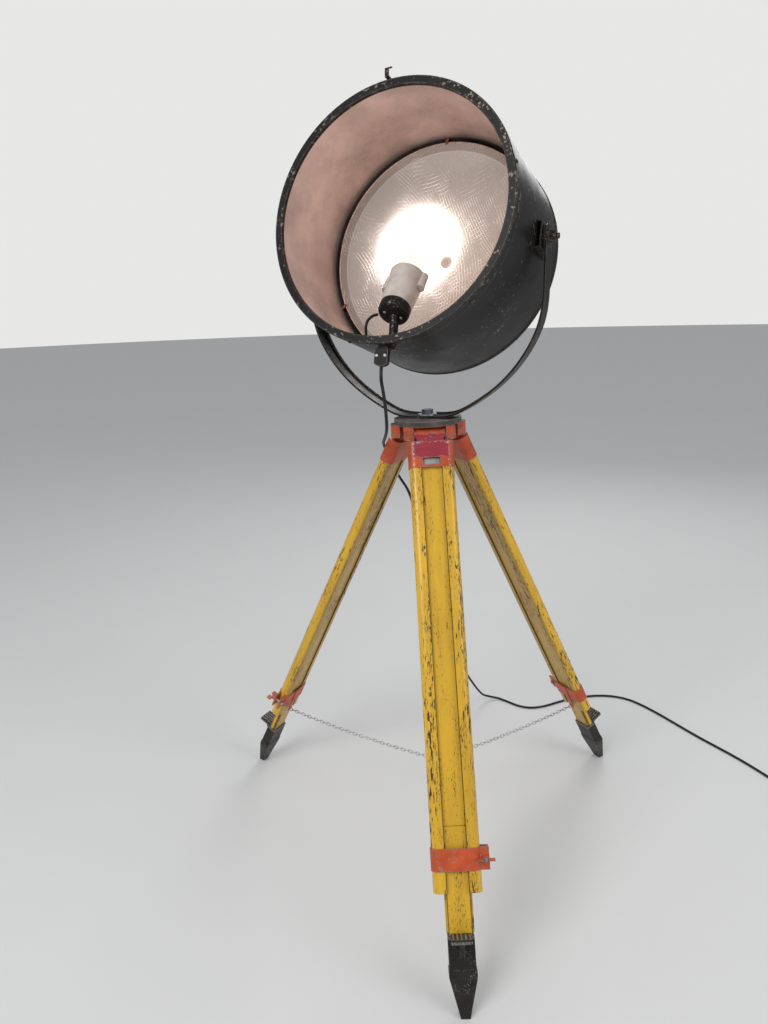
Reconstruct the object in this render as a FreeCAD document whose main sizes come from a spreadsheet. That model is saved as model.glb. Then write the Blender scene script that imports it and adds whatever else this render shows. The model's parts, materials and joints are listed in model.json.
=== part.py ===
"""A tripod spotlight floor lamp: a drum-shaped spotlight in a yoke on a three-legged stand.

Millimetres, +Z up. The stand rests on the floor at Z = 0 on three iron points, and the
origin is on the floor under the middle of the lamp's box, its mains cord left out.
The front leg points along -Y.
"""
import FreeCAD, Part
import Sketcher
import math
import os

from FreeCAD import Placement, Rotation, Vector

# ---------------------------------------------------------------------------------------
# Driving dimensions: name -> value. Angles in degrees, everything else in millimetres.
# ---------------------------------------------------------------------------------------
SIZES = {
    # stand as it was set up on the floor
    "head_side": -5.28, "head_back": 140.81, "plate_height": 1107.3,
    "lean_sideways": -1.49, "lean_back": -0.47,
    "spread_front": 26.3, "spread_left": 28.6, "spread_right": 25.7,
    # head casting
    "plate_radius": 79, "plate_thick": 12, "hub_radius": 24, "hub_bottom": 50,
    "hinge_reach": 59.1, "hinge_drop": 32, "lug_start": 37, "lug_end": 59, "lug_depth": 30,
    "lug_corner_radius": 88, "cap_thick": 10, "cap_gap": 0.6,
    "cap_screw_spacing": 20.4, "cap_screw_radius": 2.4, "cap_screw_head": 3.8,
    "cap_screw_head_deep": 3, "cap_screw_reach": 9,
    "bolt_radius": 8, "bolt_hole": 8.06, "bolt_head_radius": 13.5, "bolt_head_high": 10,
    "washer_radius": 22.5, "washer_thick": 3, "bolt_end": 58,
    # leg: hinge, ferrule, rails and sliding board
    "shaft_radius": 6, "knuckle_bore": 6.06, "lug_bore": 6.02,
    "knuckle_radius": 14, "knuckle_half": 35.5, "neck_half": 30, "neck_depth": 22,
    "ferrule_half": 52.4, "ferrule_depth": 35, "ferrule_top": 20, "ferrule_bottom": 80,
    "socket_top": 31, "socket_half": 50.8, "socket_depth": 31.6,
    "window_half": 19.5, "window_top": 58, "window_bottom": 74, "stop_bottom": 75.5,
    "leg_half": 50.5, "leg_depth": 31, "rail_inner": 23.5, "rail_top": 31.5, "rail_bottom": 970,
    "groove_deep": 5.3, "groove_wide": 8.6,
    "board_half": 23.2, "board_depth": 20, "board_in": 2, "board_top": 76, "board_bottom": 1108,
    "tongue_half": 28.4, "tongue_thick": 8, "tongue_bottom": 1046,
    # clamp band with its ears, chain tab, bolt and wing nut
    "band_top": 884, "band_bottom": 928, "band_half": 52.7, "band_depth": 35.4,
    "band_bore_half": 50.7, "band_bore_depth": 31.4, "ear_gap": 14, "ear_thick": 4,
    "ear_root": 50, "ear_end": 68, "ear_bolt_out": 60, "ear_bolt_down": 906,
    "clamp_bolt_radius": 4, "clamp_bolt_hole": 4.06, "clamp_bolt_front": 25,
    "clamp_head_radius": 6.5, "clamp_head_thick": 5.5,
    "wing_hub_radius": 7, "wing_hub_front": 22, "wing_half": 18, "wing_thick": 3.6,
    "wing_back": 18.6, "wing_front": 31,
    "tab_half": 8, "tab_thick": 2.5, "tab_bottom": 968, "tab_hole": 4,
    # cast shoe
    "shoe_top": 1050, "shoe_half": 27, "shoe_depth": 28, "shoe_collar": 1112,
    "shoe_collar_end": 1127, "shoe_collar_half": 28.5, "shoe_collar_depth": 30,
    "tip_in": 8, "tip_half": 7, "tip_end": 1216,
    "spur_half": 21, "spur_out": 46, "spur_top": 1046, "spur_thick": 9, "spur_rib": 3,
    "gusset_half": 5, "gusset_bottom": 1092,
    # spreader chains
    "chain_radius": 2, "chain_ring_radius": 13, "chain_ring_wire": 2.5,
    "chain_ring_height": 188, "chain_sag": 9, "eye_in": 24, "eye_down": 963,
    # yoke: reach of the bar's middle line from the pivots, every 15 degrees below level
    "pan": 26.2, "tilt": 16.9, "pivot_height": 375.4,
    "yoke_reach_0": 284.8, "yoke_reach_15": 292.9, "yoke_reach_30": 317.3,
    "yoke_reach_45": 335.4, "yoke_reach_60": 350.9, "yoke_reach_75": 368.9,
    "yoke_bottom": 372.6, "yoke_flat_half": 30, "yoke_end": 26, "yoke_end_radius": 25,
    "yoke_thick": 5, "yoke_wide": 40, "yoke_lip": 4.2, "yoke_lip_wide": 4, "yoke_lip_start": 72,
    # drum
    "pivot_below_axis": 17.1, "shell_radius": 267.5, "sheet_thick": 1.2,
    "drum_front": 173.8, "drum_back": 150.1, "bead_out": 2,
    "ring_radius": 269.2, "ring_opening": 252.2, "ring_deep": 26, "ring_thick": 1.6,
    "ring_return": 9, "shell_front": 171.6,
    "cover_flange": 268.6, "cover_rim": 261, "cover_deep": 64,
    "casing_screw_radius": 4.2, "casing_screw_thick": 2.4,
    # pivots
    "hat_top": 277.5, "hat_thick": 2.5, "hat_half": 28, "hat_front": 22, "hat_back": 62,
    "stud_radius": 6, "stud_hole": 6.06, "stud_head_radius": 10.5, "stud_head_start": 269.5,
    "stud_head_end": 274.9, "stud_end": 309, "spacer_radius": 15, "spacer_end": 282.1,
    "outer_washer_start": 287.5, "outer_washer_end": 290, "pivot_nut_end": 303,
    "pivot_nut_radius": 12,
    # reflector and its clips
    "reflector_rim": 253, "reflector_behind": 255.9, "reflector_deep": 66, "rim_bead": 2,
    "clip_half": 3, "clip_thick": 1.6, "clip_reach": 17,
    # lampholder and lamp
    "cap_side": 3, "cap_down": 196, "cap_forward": 118, "lamp_lean": 31,
    "cap_radius": 33.5, "cap_deep": 22, "body_start_radius": 33, "body_end_radius": 40,
    "body_end": 112, "socket_radius": 21, "socket_deep": 52, "lobe_radius": 10, "lobe_out": 39,
    "lobe_start": 74, "thread_radius": 18, "thread_thick": 1,
    "lamp_base_radius": 13.5, "lamp_base_start": 66, "lamp_base_end": 92,
    "bulb_radius": 30, "bulb_centre": 146, "bulb_neck": 15,
    "post_radius": 9.5, "post_flange": 20, "post_flange_thick": 3,
    "lead_radius": 3,
    # cable clamp under the drum, and the cord
    "clamp_forward": 152, "clamp_side": 3, "clamp_down": 290, "clamp_half_wide": 15,
    "clamp_half_high": 21, "clamp_thick": 12, "clamp_foot_long": 38,
    "cord_radius": 3.5, "cord_bore": 3.6,
    "coil_loop_radius": 38, "coil_pitch": 7.6, "coil_height": 3.6,
    "plug_long": 40, "plug_radius": 16, "plug_height": 16.1,
    "plug_pin_radius": 2.4, "plug_pin_long": 19, "plug_pin_out": 9.5,
    # latch hook on the front ring
    "latch_angle": 94.5, "latch_wide": 9, "latch_thick": 2.5, "latch_high": 18,
    "latch_pin": 1.5, "latch_bore": 1.56, "latch_barrel": 2.9, "latch_pin_out": 3.2,
}

LEGS = (("front", -90), ("left", 150), ("right", 30))
SIDES = (("left", -1), ("right", 1))
ALONG_X = Rotation(Vector(0, 1, 0), 90)
ALONG_Y = Rotation(Vector(1, 0, 0), -90)
CHAIN_RUNS = 8
CASING_SCREWS = 6
CLIP_ANGLES = (88, 206, 326)
CORD_START_Y = -303
CORD_STRAIGHT = 30
# The short lead's route inside the drum, in the drum's frame.
LEAD_POINTS = [(-32, -193, 116), (-42, -196, 120), (-50, -206, 126), (-51, -220, 132),
               (-46, -236, 138), (-42, -250, 142), (-41, -262, 143)]

os.makedirs("parts", exist_ok=True)
doc = FreeCAD.newDocument("tripod_spotlight")
sheet = doc.addObject("Spreadsheet::Sheet", "dim")
for number, (alias, amount) in enumerate(SIZES.items(), start=1):
    sheet.set(f"A{number}", alias.replace("_", " "))
    sheet.set(f"B{number}", str(amount))
    sheet.setAlias(f"B{number}", alias)
doc.recompute()


def size(alias):
    """A driving dimension, read from the sheet."""
    return float(sheet.get(alias))


# ---------------------------------------------------------------------------------------
# Ways to make a form. An expression here is a string of sizes, numbers and signs with a
# space between them.
# ---------------------------------------------------------------------------------------
def bind(thing, name, amount):
    """Set one property from a number, or bind it to an expression on the sheet's cells."""
    if isinstance(amount, str):
        words = amount.split(" ")
        thing.setExpression(name, " ".join("dim." + w if w in SIZES else w for w in words))
    else:
        thing.setExpression(name, str(amount))


def form(kind, at=(0, 0, 0), turn=Rotation(), **sizes):
    """A Part primitive with bound sizes and a bound place."""
    thing = doc.addObject("Part::" + kind, kind.lower())
    for name, amount in sizes.items():
        bind(thing, name, amount)
    thing.Placement = Placement(Vector(), turn)
    for axis, amount in zip("xyz", at):
        if amount:
            bind(thing, "Placement.Base." + axis, amount)
    return thing


def box(low, long):
    """A box from its low corner and its three lengths."""
    return form("Box", low, Length=long[0], Width=long[1], Height=long[2])


def rod(radius, length, at=(0, 0, 0), turn=Rotation()):
    """A cylinder from its foot, along Z or turned."""
    return form("Cylinder", at, turn, Radius=radius, Height=length)


def hexagon(across_corners_half, length, at, turn=Rotation()):
    """A hexagonal prism for a bolt head or nut."""
    return form("Prism", at, turn, Polygon=6, Circumradius=across_corners_half, Height=length)


def fuse(*things):
    """One solid out of several overlapping ones."""
    joined = doc.addObject("Part::MultiFuse", "fuse")
    joined.Shapes = list(things)
    joined.Refine = True
    return joined


def cut(base, *tools):
    """A form with other forms taken away."""
    result = doc.addObject("Part::Cut", "cut")
    result.Base = base
    result.Tool = tools[0] if len(tools) == 1 else fuse(*tools)
    return result


def common(first, second):
    """What two forms share."""
    result = doc.addObject("Part::Common", "common")
    result.Base = first
    result.Tool = second
    return result


def moved(thing, place):
    """A form put at another place."""
    holder = doc.addObject("Part::Compound", "moved")
    holder.Links = [thing]
    holder.Placement = place
    return holder


def spun(outline, turn_on_z=True):
    """A closed outline of (radius, height) or (radius, height, bulge) spun round Z.

    A third value bulges the edge that starts there into an arc of that rise.
    """
    sketch = doc.addObject("Sketcher::SketchObject", "outline")
    sketch.Placement = Placement(Vector(), Rotation(Vector(1, 0, 0), 90))
    corners = [Vector(number_of(p[0]), number_of(p[1]), 0) for p in outline]
    for index, point in enumerate(outline):
        start, end = corners[index], corners[(index + 1) % len(corners)]
        if len(point) == 3:
            chord = end - start
            middle = (start + end) * 0.5 + Vector(chord.y, -chord.x, 0).normalize() * point[2]
            sketch.addGeometry(Part.Arc(start, middle, end), False)
        else:
            sketch.addGeometry(Part.LineSegment(start, end), False)
    for index, point in enumerate(outline):
        if len(point) == 3:
            continue
        for word, amount in (("DistanceX", point[0]), ("DistanceY", point[1])):
            sketch.addConstraint(Sketcher.Constraint(word, -1, 1, index, 1, number_of(amount)))
            if isinstance(amount, str):
                bind(sketch, f"Constraints[{sketch.ConstraintCount - 1}]", amount)
    body = doc.addObject("Part::Revolution", "spun")
    body.Source = sketch
    body.Axis = Vector(0, 0, 1)
    body.Angle = 360
    body.Solid = True
    return body


def number_of(amount):
    """The value of a number or of an expression on the sheet's cells."""
    if not isinstance(amount, str):
        return float(amount)
    words = amount.split(" ")
    total, sign = 0.0, 1
    for word in words:
        if word in "+-":
            sign = 1 if word == "+" else -1
        else:
            total += sign * (size(word) if word in SIZES else float(word))
    return total


def free_shape(shape):
    """A form whose shape is worked out here, where no primitive fits."""
    thing = doc.addObject("Part::Feature", "free")
    thing.Shape = shape
    return thing


def dome_rise(rim, deep):
    """How far the arc from a dome's rim to its middle stands off the straight line."""
    ball = (rim ** 2 + deep ** 2) / (2 * deep)
    return ball - math.sqrt(ball ** 2 - (rim ** 2 + deep ** 2) / 4)


PIECES = {}
CORD_NODES = []


def piece(node, place, *things):
    """A finished sub-part: its forms, gathered under its name and put in its frame."""
    whole = doc.addObject("Part::Compound", node)
    whole.Links = list(things)
    whole.Label = node
    whole.Placement = place
    PIECES[node] = whole
    return whole


# ---------------------------------------------------------------------------------------
# Frames
# ---------------------------------------------------------------------------------------
def frame(origin, side, back, upward):
    """A placement from an origin and three unit axes."""
    matrix = FreeCAD.Matrix(side.x, back.x, upward.x, origin.x, side.y, back.y, upward.y, origin.y,
                            side.z, back.z, upward.z, origin.z, 0, 0, 0, 1)
    return Placement(matrix)


LEAN = (Rotation(Vector(0, 1, 0), size("lean_sideways"))
        * Rotation(Vector(1, 0, 0), size("lean_back")))
HEAD = Placement(Vector(size("head_side"), size("head_back"), size("plate_height")), LEAN)


def hinge_frame(azimuth, spread=0.0):
    """X along the hinge, Y inward and Z up the leg, which stands out by its spread."""
    turn, open_by = math.radians(azimuth), math.radians(spread)
    outward = Vector(math.cos(turn), math.sin(turn), 0)
    along = Vector(-math.sin(turn), math.cos(turn), 0)
    up = Vector(0, 0, 1)
    leg_up = up * math.cos(open_by) - outward * math.sin(open_by)
    inward = outward * -math.cos(open_by) - up * math.sin(open_by)
    origin = outward * size("hinge_reach") - up * size("hinge_drop")
    return HEAD * frame(origin, along, inward, leg_up)


def leg_frame(name, azimuth):
    """The frame of a leg as it stands."""
    return hinge_frame(azimuth, size("spread_" + name))


def yoke_frame():
    """X along the tilt axis, Y up and Z forward, with the origin between the pivots."""
    turn = math.radians(size("pan"))
    forward = Vector(-math.sin(turn), -math.cos(turn), 0)
    side = Vector(math.cos(turn), -math.sin(turn), 0)
    return HEAD * frame(Vector(0, 0, size("pivot_height")), side, Vector(0, 0, 1), forward)


def drum_frame():
    """X along the tilt axis and Z forward along the drum's own axis."""
    raised = Placement(Vector(0, size("pivot_below_axis"), 0), Rotation())
    return yoke_frame() * Placement(Vector(), Rotation(Vector(1, 0, 0), -size("tilt"))) * raised


# ---------------------------------------------------------------------------------------
# Wires, cords and chains: straight runs joined by tangent arcs
# ---------------------------------------------------------------------------------------
def arc_at(points, index, share=0.45, limit=1e9):
    """Where the arc at one point starts and ends, its middle, and its radius."""
    before, here, after = points[index - 1:index + 2]
    back, ahead = before - here, after - here
    turn = math.pi - back.getAngle(ahead)
    radius = min(limit, share * min(back.Length, ahead.Length) / math.tan(turn / 2))
    step = radius * math.tan(turn / 2)
    back.normalize()
    ahead.normalize()
    inward = (back + ahead).normalize()
    middle = here + inward * (radius / math.cos(turn / 2) - radius)
    return here + back * step, middle, here + ahead * step, radius


def route(points):
    """The wire through the points, and the radii of its arcs."""
    edges, radii = [], []
    start = points[0]
    for index in range(1, len(points) - 1):
        enter, middle, leave, radius = arc_at(points, index)
        edges.append(Part.LineSegment(start, enter).toShape())
        edges.append(Part.Arc(enter, middle, leave).toShape())
        radii.append(round(radius, 1))
        start = leave
    edges.append(Part.LineSegment(start, points[-1]).toShape())
    return Part.Wire(edges), radii


def tube(wire, start, heading, radius):
    """A round tube along a wire."""
    section = Part.Wire([Part.makeCircle(radius, start, heading)])
    return wire.makePipeShell([section], True, False)


def cord_run(node, points, radius):
    """A tube through points that are in the lamp's own frame."""
    wire, radii = route(points)
    solid = tube(wire, points[0], points[1] - points[0], radius)
    should_be = math.pi * radius ** 2 * wire.Length
    print(f"{node}: length {wire.Length:.0f}, radii {radii}, volume / section x length "
          f"{solid.Volume / should_be:.4f}")
    return free_shape(solid)


# ---------------------------------------------------------------------------------------
# Head
# ---------------------------------------------------------------------------------------
def lug_boxes(inverse_head, low_z, high):
    """The two blocks beside each knuckle, three pairs in all, trimmed to the head's round."""
    blocks = []
    for name, azimuth in LEGS:
        place = inverse_head * hinge_frame(azimuth)
        for side in (-1, 1):
            low_x = "lug_start" if side > 0 else "0 - lug_end"
            block = box((low_x, "0 - lug_depth / 2", low_z),
                        ("lug_end - lug_start", "lug_depth", high))
            blocks.append(moved(block, place))
    return blocks


def head_round():
    """The round that trims the lugs and their caps."""
    return rod("lug_corner_radius", 100, (0, 0, -90))


def hinge_bores(inverse_head):
    """The bores for the three hinge shafts."""
    bores = []
    for name, azimuth in LEGS:
        bore = rod("lug_bore", 140, (-70, 0, 0), ALONG_X)
        bores.append(moved(bore, inverse_head * hinge_frame(azimuth)))
    return bores


def cap_screw_rods(inverse_head, radius, low, length):
    """Twelve rods up through the caps, two beside each end of each shaft."""
    rods = []
    middle = (size("lug_start") + size("lug_end")) / 2
    for name, azimuth in LEGS:
        place = inverse_head * hinge_frame(azimuth)
        for side in (-1, 1):
            for end in (-1, 1):
                across = f"{end} * cap_screw_spacing / 2"
                rods.append(moved(rod(radius, length, (side * middle, across, low)), place))
    return rods


def head_pieces():
    """Casting, bearing caps, their screws, and the bolt that holds the yoke."""
    inverse = HEAD.inverse()
    plate = rod("plate_radius", "plate_thick", (0, 0, "0 - plate_thick"))
    hub = rod("hub_radius", "hub_bottom", (0, 0, "0 - hub_bottom"))
    lugs = lug_boxes(inverse, 0, "hinge_drop - plate_thick + 2")
    trimmed = [common(lug, head_round()) for lug in lugs]
    hole = rod("bolt_radius", 120, (0, 0, -110))
    piece("head_casting", HEAD, cut(
        fuse(plate, hub, *trimmed), hole, *hinge_bores(inverse),
        *cap_screw_rods(inverse, "cap_screw_radius", -1, "cap_screw_reach + 1")))
    caps = [common(block, head_round())
            for block in lug_boxes(inverse, "0 - cap_thick", "cap_thick - cap_gap")]
    bores = hinge_bores(inverse)
    shanks = cap_screw_rods(inverse, "cap_screw_radius", -20, 30)
    heads = cap_screw_rods(inverse, "cap_screw_head", "0 - cap_thick - 1", "cap_screw_head_deep + 1")
    tools = fuse(*bores, *shanks, *heads)
    piece("bearing_caps", HEAD, *[cut(cap, tools) for cap in caps])
    screws = []
    for shank, top in zip(
            cap_screw_rods(inverse, "cap_screw_radius", "0 - cap_thick",
                           "cap_thick + cap_screw_reach"),
            cap_screw_rods(inverse, "cap_screw_head", "0 - cap_thick", "cap_screw_head_deep")):
        screws.append(fuse(shank, top))
    piece("cap_screws", HEAD, *screws)
    web_top = "pivot_height - yoke_bottom + yoke_thick / 2 + 0.2"
    washer = cut(rod("washer_radius", "washer_thick", (0, 0, web_top)),
                 rod("bolt_radius", 30, (0, 0, -5)))
    piece("yoke_washer", HEAD, washer)
    shank = rod("bolt_radius", "bolt_end + 12", (0, 0, "0 - bolt_end"))
    bolt_head = hexagon("bolt_head_radius", "bolt_head_high", (0, 0, web_top + " + washer_thick"))
    piece("yoke_bolt", HEAD, fuse(shank, bolt_head))


# ---------------------------------------------------------------------------------------
# Legs
# ---------------------------------------------------------------------------------------
def stadium(half, depth, bottom, top):
    """A block with half-round edges, from bottom to top below the hinge."""
    low, high = f"0 - ( {bottom} )", f"{bottom} - ( {top} )"
    middle = box((f"0 - {half} + {depth} / 2", f"0 - {depth} / 2", low),
                 (f"( {half} - {depth} / 2 ) * 2", depth, high))
    ends = [rod(f"{depth} / 2", high, (f"{side} * ( {half} - {depth} / 2 )", 0, low))
            for side in (-1, 1)]
    return fuse(middle, *ends)


def ferrule(place, name):
    """The cast top of a leg: knuckle, neck, and a socket for the rails."""
    knuckle = rod("knuckle_radius", "knuckle_half * 2", ("0 - knuckle_half", 0, 0), ALONG_X)
    neck = box(("0 - neck_half", "0 - neck_depth / 2", -30), ("neck_half * 2", "neck_depth", 30))
    block = stadium("ferrule_half", "ferrule_depth", "ferrule_bottom", "ferrule_top")
    pocket = stadium("socket_half", "socket_depth", "ferrule_bottom + 5", "socket_top")
    window = box(("0 - window_half", -30, "0 - window_bottom"),
                 ("window_half * 2", 30, "window_bottom - window_top"))
    bore = rod("knuckle_bore", 90, (-45, 0, 0), ALONG_X)
    stop = box((-19, -9, "0 - stop_bottom"), (38, 21, "stop_bottom - socket_top + 1"))
    piece(name + "_leg_ferrule", place,
          fuse(cut(fuse(knuckle, neck, block), pocket, window, bore), stop))


def rail(place, node, side):
    """One side rail: a half-round outer edge, and a groove for the board's tongue."""
    low_x = "rail_inner" if side > 0 else "0 - leg_half + leg_depth / 2"
    block = box((low_x, "0 - leg_depth / 2", "0 - rail_bottom"),
                ("leg_half - leg_depth / 2 - rail_inner", "leg_depth", "rail_bottom - rail_top"))
    edge = rod("leg_depth / 2", "rail_bottom - rail_top",
               (f"{side} * ( leg_half - leg_depth / 2 )", 0, "0 - rail_bottom"))
    inner = box(("rail_inner - 60" if side > 0 else "0 - rail_inner", -20, "0 - rail_bottom - 1"),
                (60, 40, "rail_bottom + 2"))
    groove_x = "rail_inner - 1" if side > 0 else "0 - rail_inner - groove_deep"
    groove = box((groove_x, "board_in - groove_wide / 2", "0 - rail_bottom - 1"),
                 ("groove_deep + 1", "groove_wide", "rail_bottom + 2"))
    piece(node, place, cut(fuse(block, edge), inner, groove))


def board(place, name):
    """The sliding lower leg, tongued to run in the rails."""
    plank = box(("0 - board_half", "board_in - board_depth / 2", "0 - board_bottom"),
                ("board_half * 2", "board_depth", "board_bottom - board_top"))
    tongue = box(("0 - tongue_half", "board_in - tongue_thick / 2", "0 - tongue_bottom"),
                 ("tongue_half * 2", "tongue_thick", "tongue_bottom - board_top"))
    piece(name + "_sliding_board", place, fuse(plank, tongue))


def clamp(place, name):
    """The band round both rails, its bolt and its wing nut."""
    outer = stadium("band_half", "band_depth", "band_bottom", "band_top")
    bore = stadium("band_bore_half", "band_bore_depth", "band_bottom + 5", "band_top - 5")
    gap = box((40, "0 - ear_gap / 2", "0 - band_bottom - 1"),
              (40, "ear_gap", "band_bottom - band_top + 2"))
    ears = [box(("ear_root - 3", low, "0 - band_bottom"),
                ("ear_end - ear_root + 3", "ear_thick", "band_bottom - band_top"))
            for low in ("ear_gap / 2", "0 - ear_gap / 2 - ear_thick")]
    tab = box(("0 - tab_half", "band_depth / 2 - 0.1", "0 - tab_bottom"),
              ("tab_half * 2", "tab_thick", "tab_bottom - band_top"))
    eye = rod("tab_hole", 30, (0, 10, "0 - eye_down + 1"), ALONG_Y)
    ear_hole = rod("clamp_bolt_hole", 60, ("ear_bolt_out", -30, "0 - ear_bolt_down"), ALONG_Y)
    piece(name + "_clamp_band", place, cut(fuse(cut(outer, gap), *ears, tab), bore, eye, ear_hole))

    bolt_start = ("ear_bolt_out", "0 - clamp_bolt_front", "0 - ear_bolt_down")
    shank = rod("clamp_bolt_radius", "clamp_bolt_front + ear_gap / 2 + ear_thick + 1",
                bolt_start, ALONG_Y)
    nut_head = hexagon("clamp_head_radius", "clamp_head_thick",
                       ("ear_bolt_out", "ear_gap / 2 + ear_thick + 0.1", "0 - ear_bolt_down"), ALONG_Y)
    piece(name + "_clamp_bolt", place, fuse(shank, nut_head))

    hub = rod("wing_hub_radius", "wing_hub_front - ear_gap / 2 - ear_thick - 0.3",
              ("ear_bolt_out", "0 - wing_hub_front", "0 - ear_bolt_down"), ALONG_Y)
    wings = box(("ear_bolt_out - wing_half", "0 - wing_front", "0 - ear_bolt_down - wing_thick / 2"),
                ("wing_half * 2", "wing_front - wing_back", "wing_thick"))
    gap_between = box(("ear_bolt_out - 5.5", "0 - wing_front - 1", "0 - ear_bolt_down - 9"),
                      (11, "wing_front - wing_hub_front + 1", 18))
    bore = rod("clamp_bolt_hole", 60, ("ear_bolt_out", -50, "0 - ear_bolt_down"), ALONG_Y)
    piece(name + "_wing_nut", place, cut(fuse(hub, wings), gap_between, bore))


def shoe(place, name):
    """The cast iron shoe: socket, step spur, and a point cut flat on the floor."""
    low_y = "board_in - shoe_depth / 2"
    socket = box(("0 - shoe_half", low_y, "0 - shoe_collar - 1"),
                 ("shoe_half * 2", "shoe_depth", "shoe_collar + 1 - shoe_top"))
    collar = box(("0 - shoe_collar_half", "board_in - shoe_collar_depth / 2", "0 - shoe_collar_end"),
                 ("shoe_collar_half * 2", "shoe_collar_depth", "shoe_collar_end - shoe_collar"))
    point = form("Wedge", (0, 0, "0 - shoe_collar_end + 0.5"), Rotation(Vector(1, 0, 0), -90),
                 Xmin="0 - shoe_collar_half", Xmax="shoe_collar_half", X2min="0 - tip_half",
                 X2max="tip_half", Ymin=0, Ymax="tip_end - shoe_collar_end",
                 Zmin="board_in - shoe_collar_depth / 2", Zmax="board_in + shoe_collar_depth / 2",
                 Z2min="tip_in - tip_half", Z2max="tip_in + tip_half")
    step = box(("0 - spur_half", "0 - spur_out", "0 - spur_top - spur_thick"),
               ("spur_half * 2", "spur_out - 5", "spur_thick"))
    gusset = form("Wedge", (0, 0, "0 - spur_top - spur_thick + 0.5"), Rotation(Vector(1, 0, 0), -90),
                  Xmin="0 - gusset_half", Xmax="gusset_half", X2min="0 - gusset_half",
                  X2max="gusset_half", Ymin=0, Ymax="gusset_bottom - spur_top - spur_thick",
                  Zmin="0 - spur_out + 4", Zmax=-5, Z2min="board_in - shoe_depth / 2 - 1", Z2max=-5)
    ribs = [box((f"{offset} * spur_half - spur_rib / 2", "0 - spur_out", "0 - spur_top - 0.5"),
                ("spur_rib", "spur_out - 14", 3)) for offset in (-0.8, -0.4, 0, 0.4, 0.8)]
    board_hole = box(("0 - board_half", "board_in - board_depth / 2", "0 - board_bottom"),
                     ("board_half * 2", "board_depth", "board_bottom - shoe_top + 5"))
    below_floor = moved(box((-800, -800, -200), (1600, 1600, 200)), place.inverse())
    piece(name + "_leg_shoe", place,
          cut(fuse(socket, collar, point, step, gusset, *ribs), board_hole, below_floor))


def leg_pieces():
    """Everything on each of the three legs."""
    for name, azimuth in LEGS:
        place = leg_frame(name, azimuth)
        piece(name + "_hinge_shaft", hinge_frame(azimuth),
              rod("shaft_radius", "lug_end * 2 - 1", ("0 - lug_end + 0.5", 0, 0), ALONG_X))
        ferrule(place, name)
        rail(place, name + "_rail_left", -1)
        rail(place, name + "_rail_right", 1)
        board(place, name)
        clamp(place, name)
        shoe(place, name)


def chain_pieces():
    """Three slack chains from the clamp bands to a ring that they carry between them."""
    eyes = [leg_frame(name, azimuth) * Vector(0, size("eye_in"), -size("eye_down"))
            for name, azimuth in LEGS]
    centre = (eyes[0] + eyes[1] + eyes[2]) * (1 / 3)
    centre.z = size("chain_ring_height")
    ring = form("Torus", Radius1="chain_ring_radius", Radius2="chain_ring_wire")
    piece("chain_ring", Placement(centre, Rotation()), ring)
    reach = size("chain_ring_radius") + size("chain_ring_wire") + size("chain_radius") + 0.5
    for (name, azimuth), eye in zip(LEGS, eyes):
        outward = Vector(eye.x - centre.x, eye.y - centre.y, 0).normalize()
        inner = centre + outward * reach
        points = []
        for step in range(CHAIN_RUNS + 1):
            share = step / CHAIN_RUNS
            droop = 4 * size("chain_sag") * share * (1 - share)
            points.append(inner + (eye - inner) * share - Vector(0, 0, droop))
        piece(name + "_spreader_chain", Placement(),
              cord_run(name + "_spreader_chain", points, size("chain_radius")))


# ---------------------------------------------------------------------------------------
# Yoke
# ---------------------------------------------------------------------------------------
def bar_line(offset):
    """The bar's line, moved outward by an offset, from the left end round to the right."""
    reach = [size(f"yoke_reach_{angle}") for angle in (0, 15, 30, 45, 60, 75)]
    side = [Vector(r * math.cos(math.radians(15 * i)), -r * math.sin(math.radians(15 * i)), 0)
            for i, r in enumerate(reach)]
    side.append(Vector(size("yoke_flat_half"), -size("yoke_bottom"), 0))
    middle = Part.BSplineCurve()
    middle.interpolate(side, Tangents=[Vector(0, -1, 0)] + [Vector()] * 5 + [Vector(-1, 0, 0)],
                       TangentFlags=[True] + [False] * 5 + [True])
    shifted = []
    for point in side:
        direction = Vector(*middle.tangent(middle.parameter(point))[0])
        normal = Vector(-direction.y, direction.x, 0).normalize()
        shifted.append(point + normal * offset)
    right = Part.BSplineCurve()
    right.interpolate(shifted, Tangents=[Vector(0, -1, 0)] + [Vector()] * 5 + [Vector(-1, 0, 0)],
                      TangentFlags=[True] + [False] * 5 + [True])
    left = right.copy()
    left.mirror(Vector(), Vector(0, 1, 0))
    top = Vector(0, size("yoke_end"), 0)
    mirrored = [Vector(-p.x, p.y, 0) for p in shifted]
    return [Part.LineSegment(mirrored[0] + top, mirrored[0]).toShape(), left.toShape(),
            Part.LineSegment(mirrored[-1], shifted[-1]).toShape(), right.toShape(),
            Part.LineSegment(shifted[0], shifted[0] + top).toShape()]


def bar(inner_offset, outer_offset, low, wide):
    """The stretch of bar between two offsets of its line, as wide as asked."""
    outer, inner = bar_line(outer_offset), bar_line(inner_offset)
    ends = [Part.LineSegment(outer[end].Vertexes[corner].Point,
                             inner[end].Vertexes[corner].Point).toShape()
            for end, corner in ((0, 0), (-1, 1))]
    wire = Part.Wire(Part.__sortEdges__(outer + inner + ends))
    return Part.Face(wire).extrude(Vector(0, 0, wide)).translated(Vector(0, 0, low))


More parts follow.
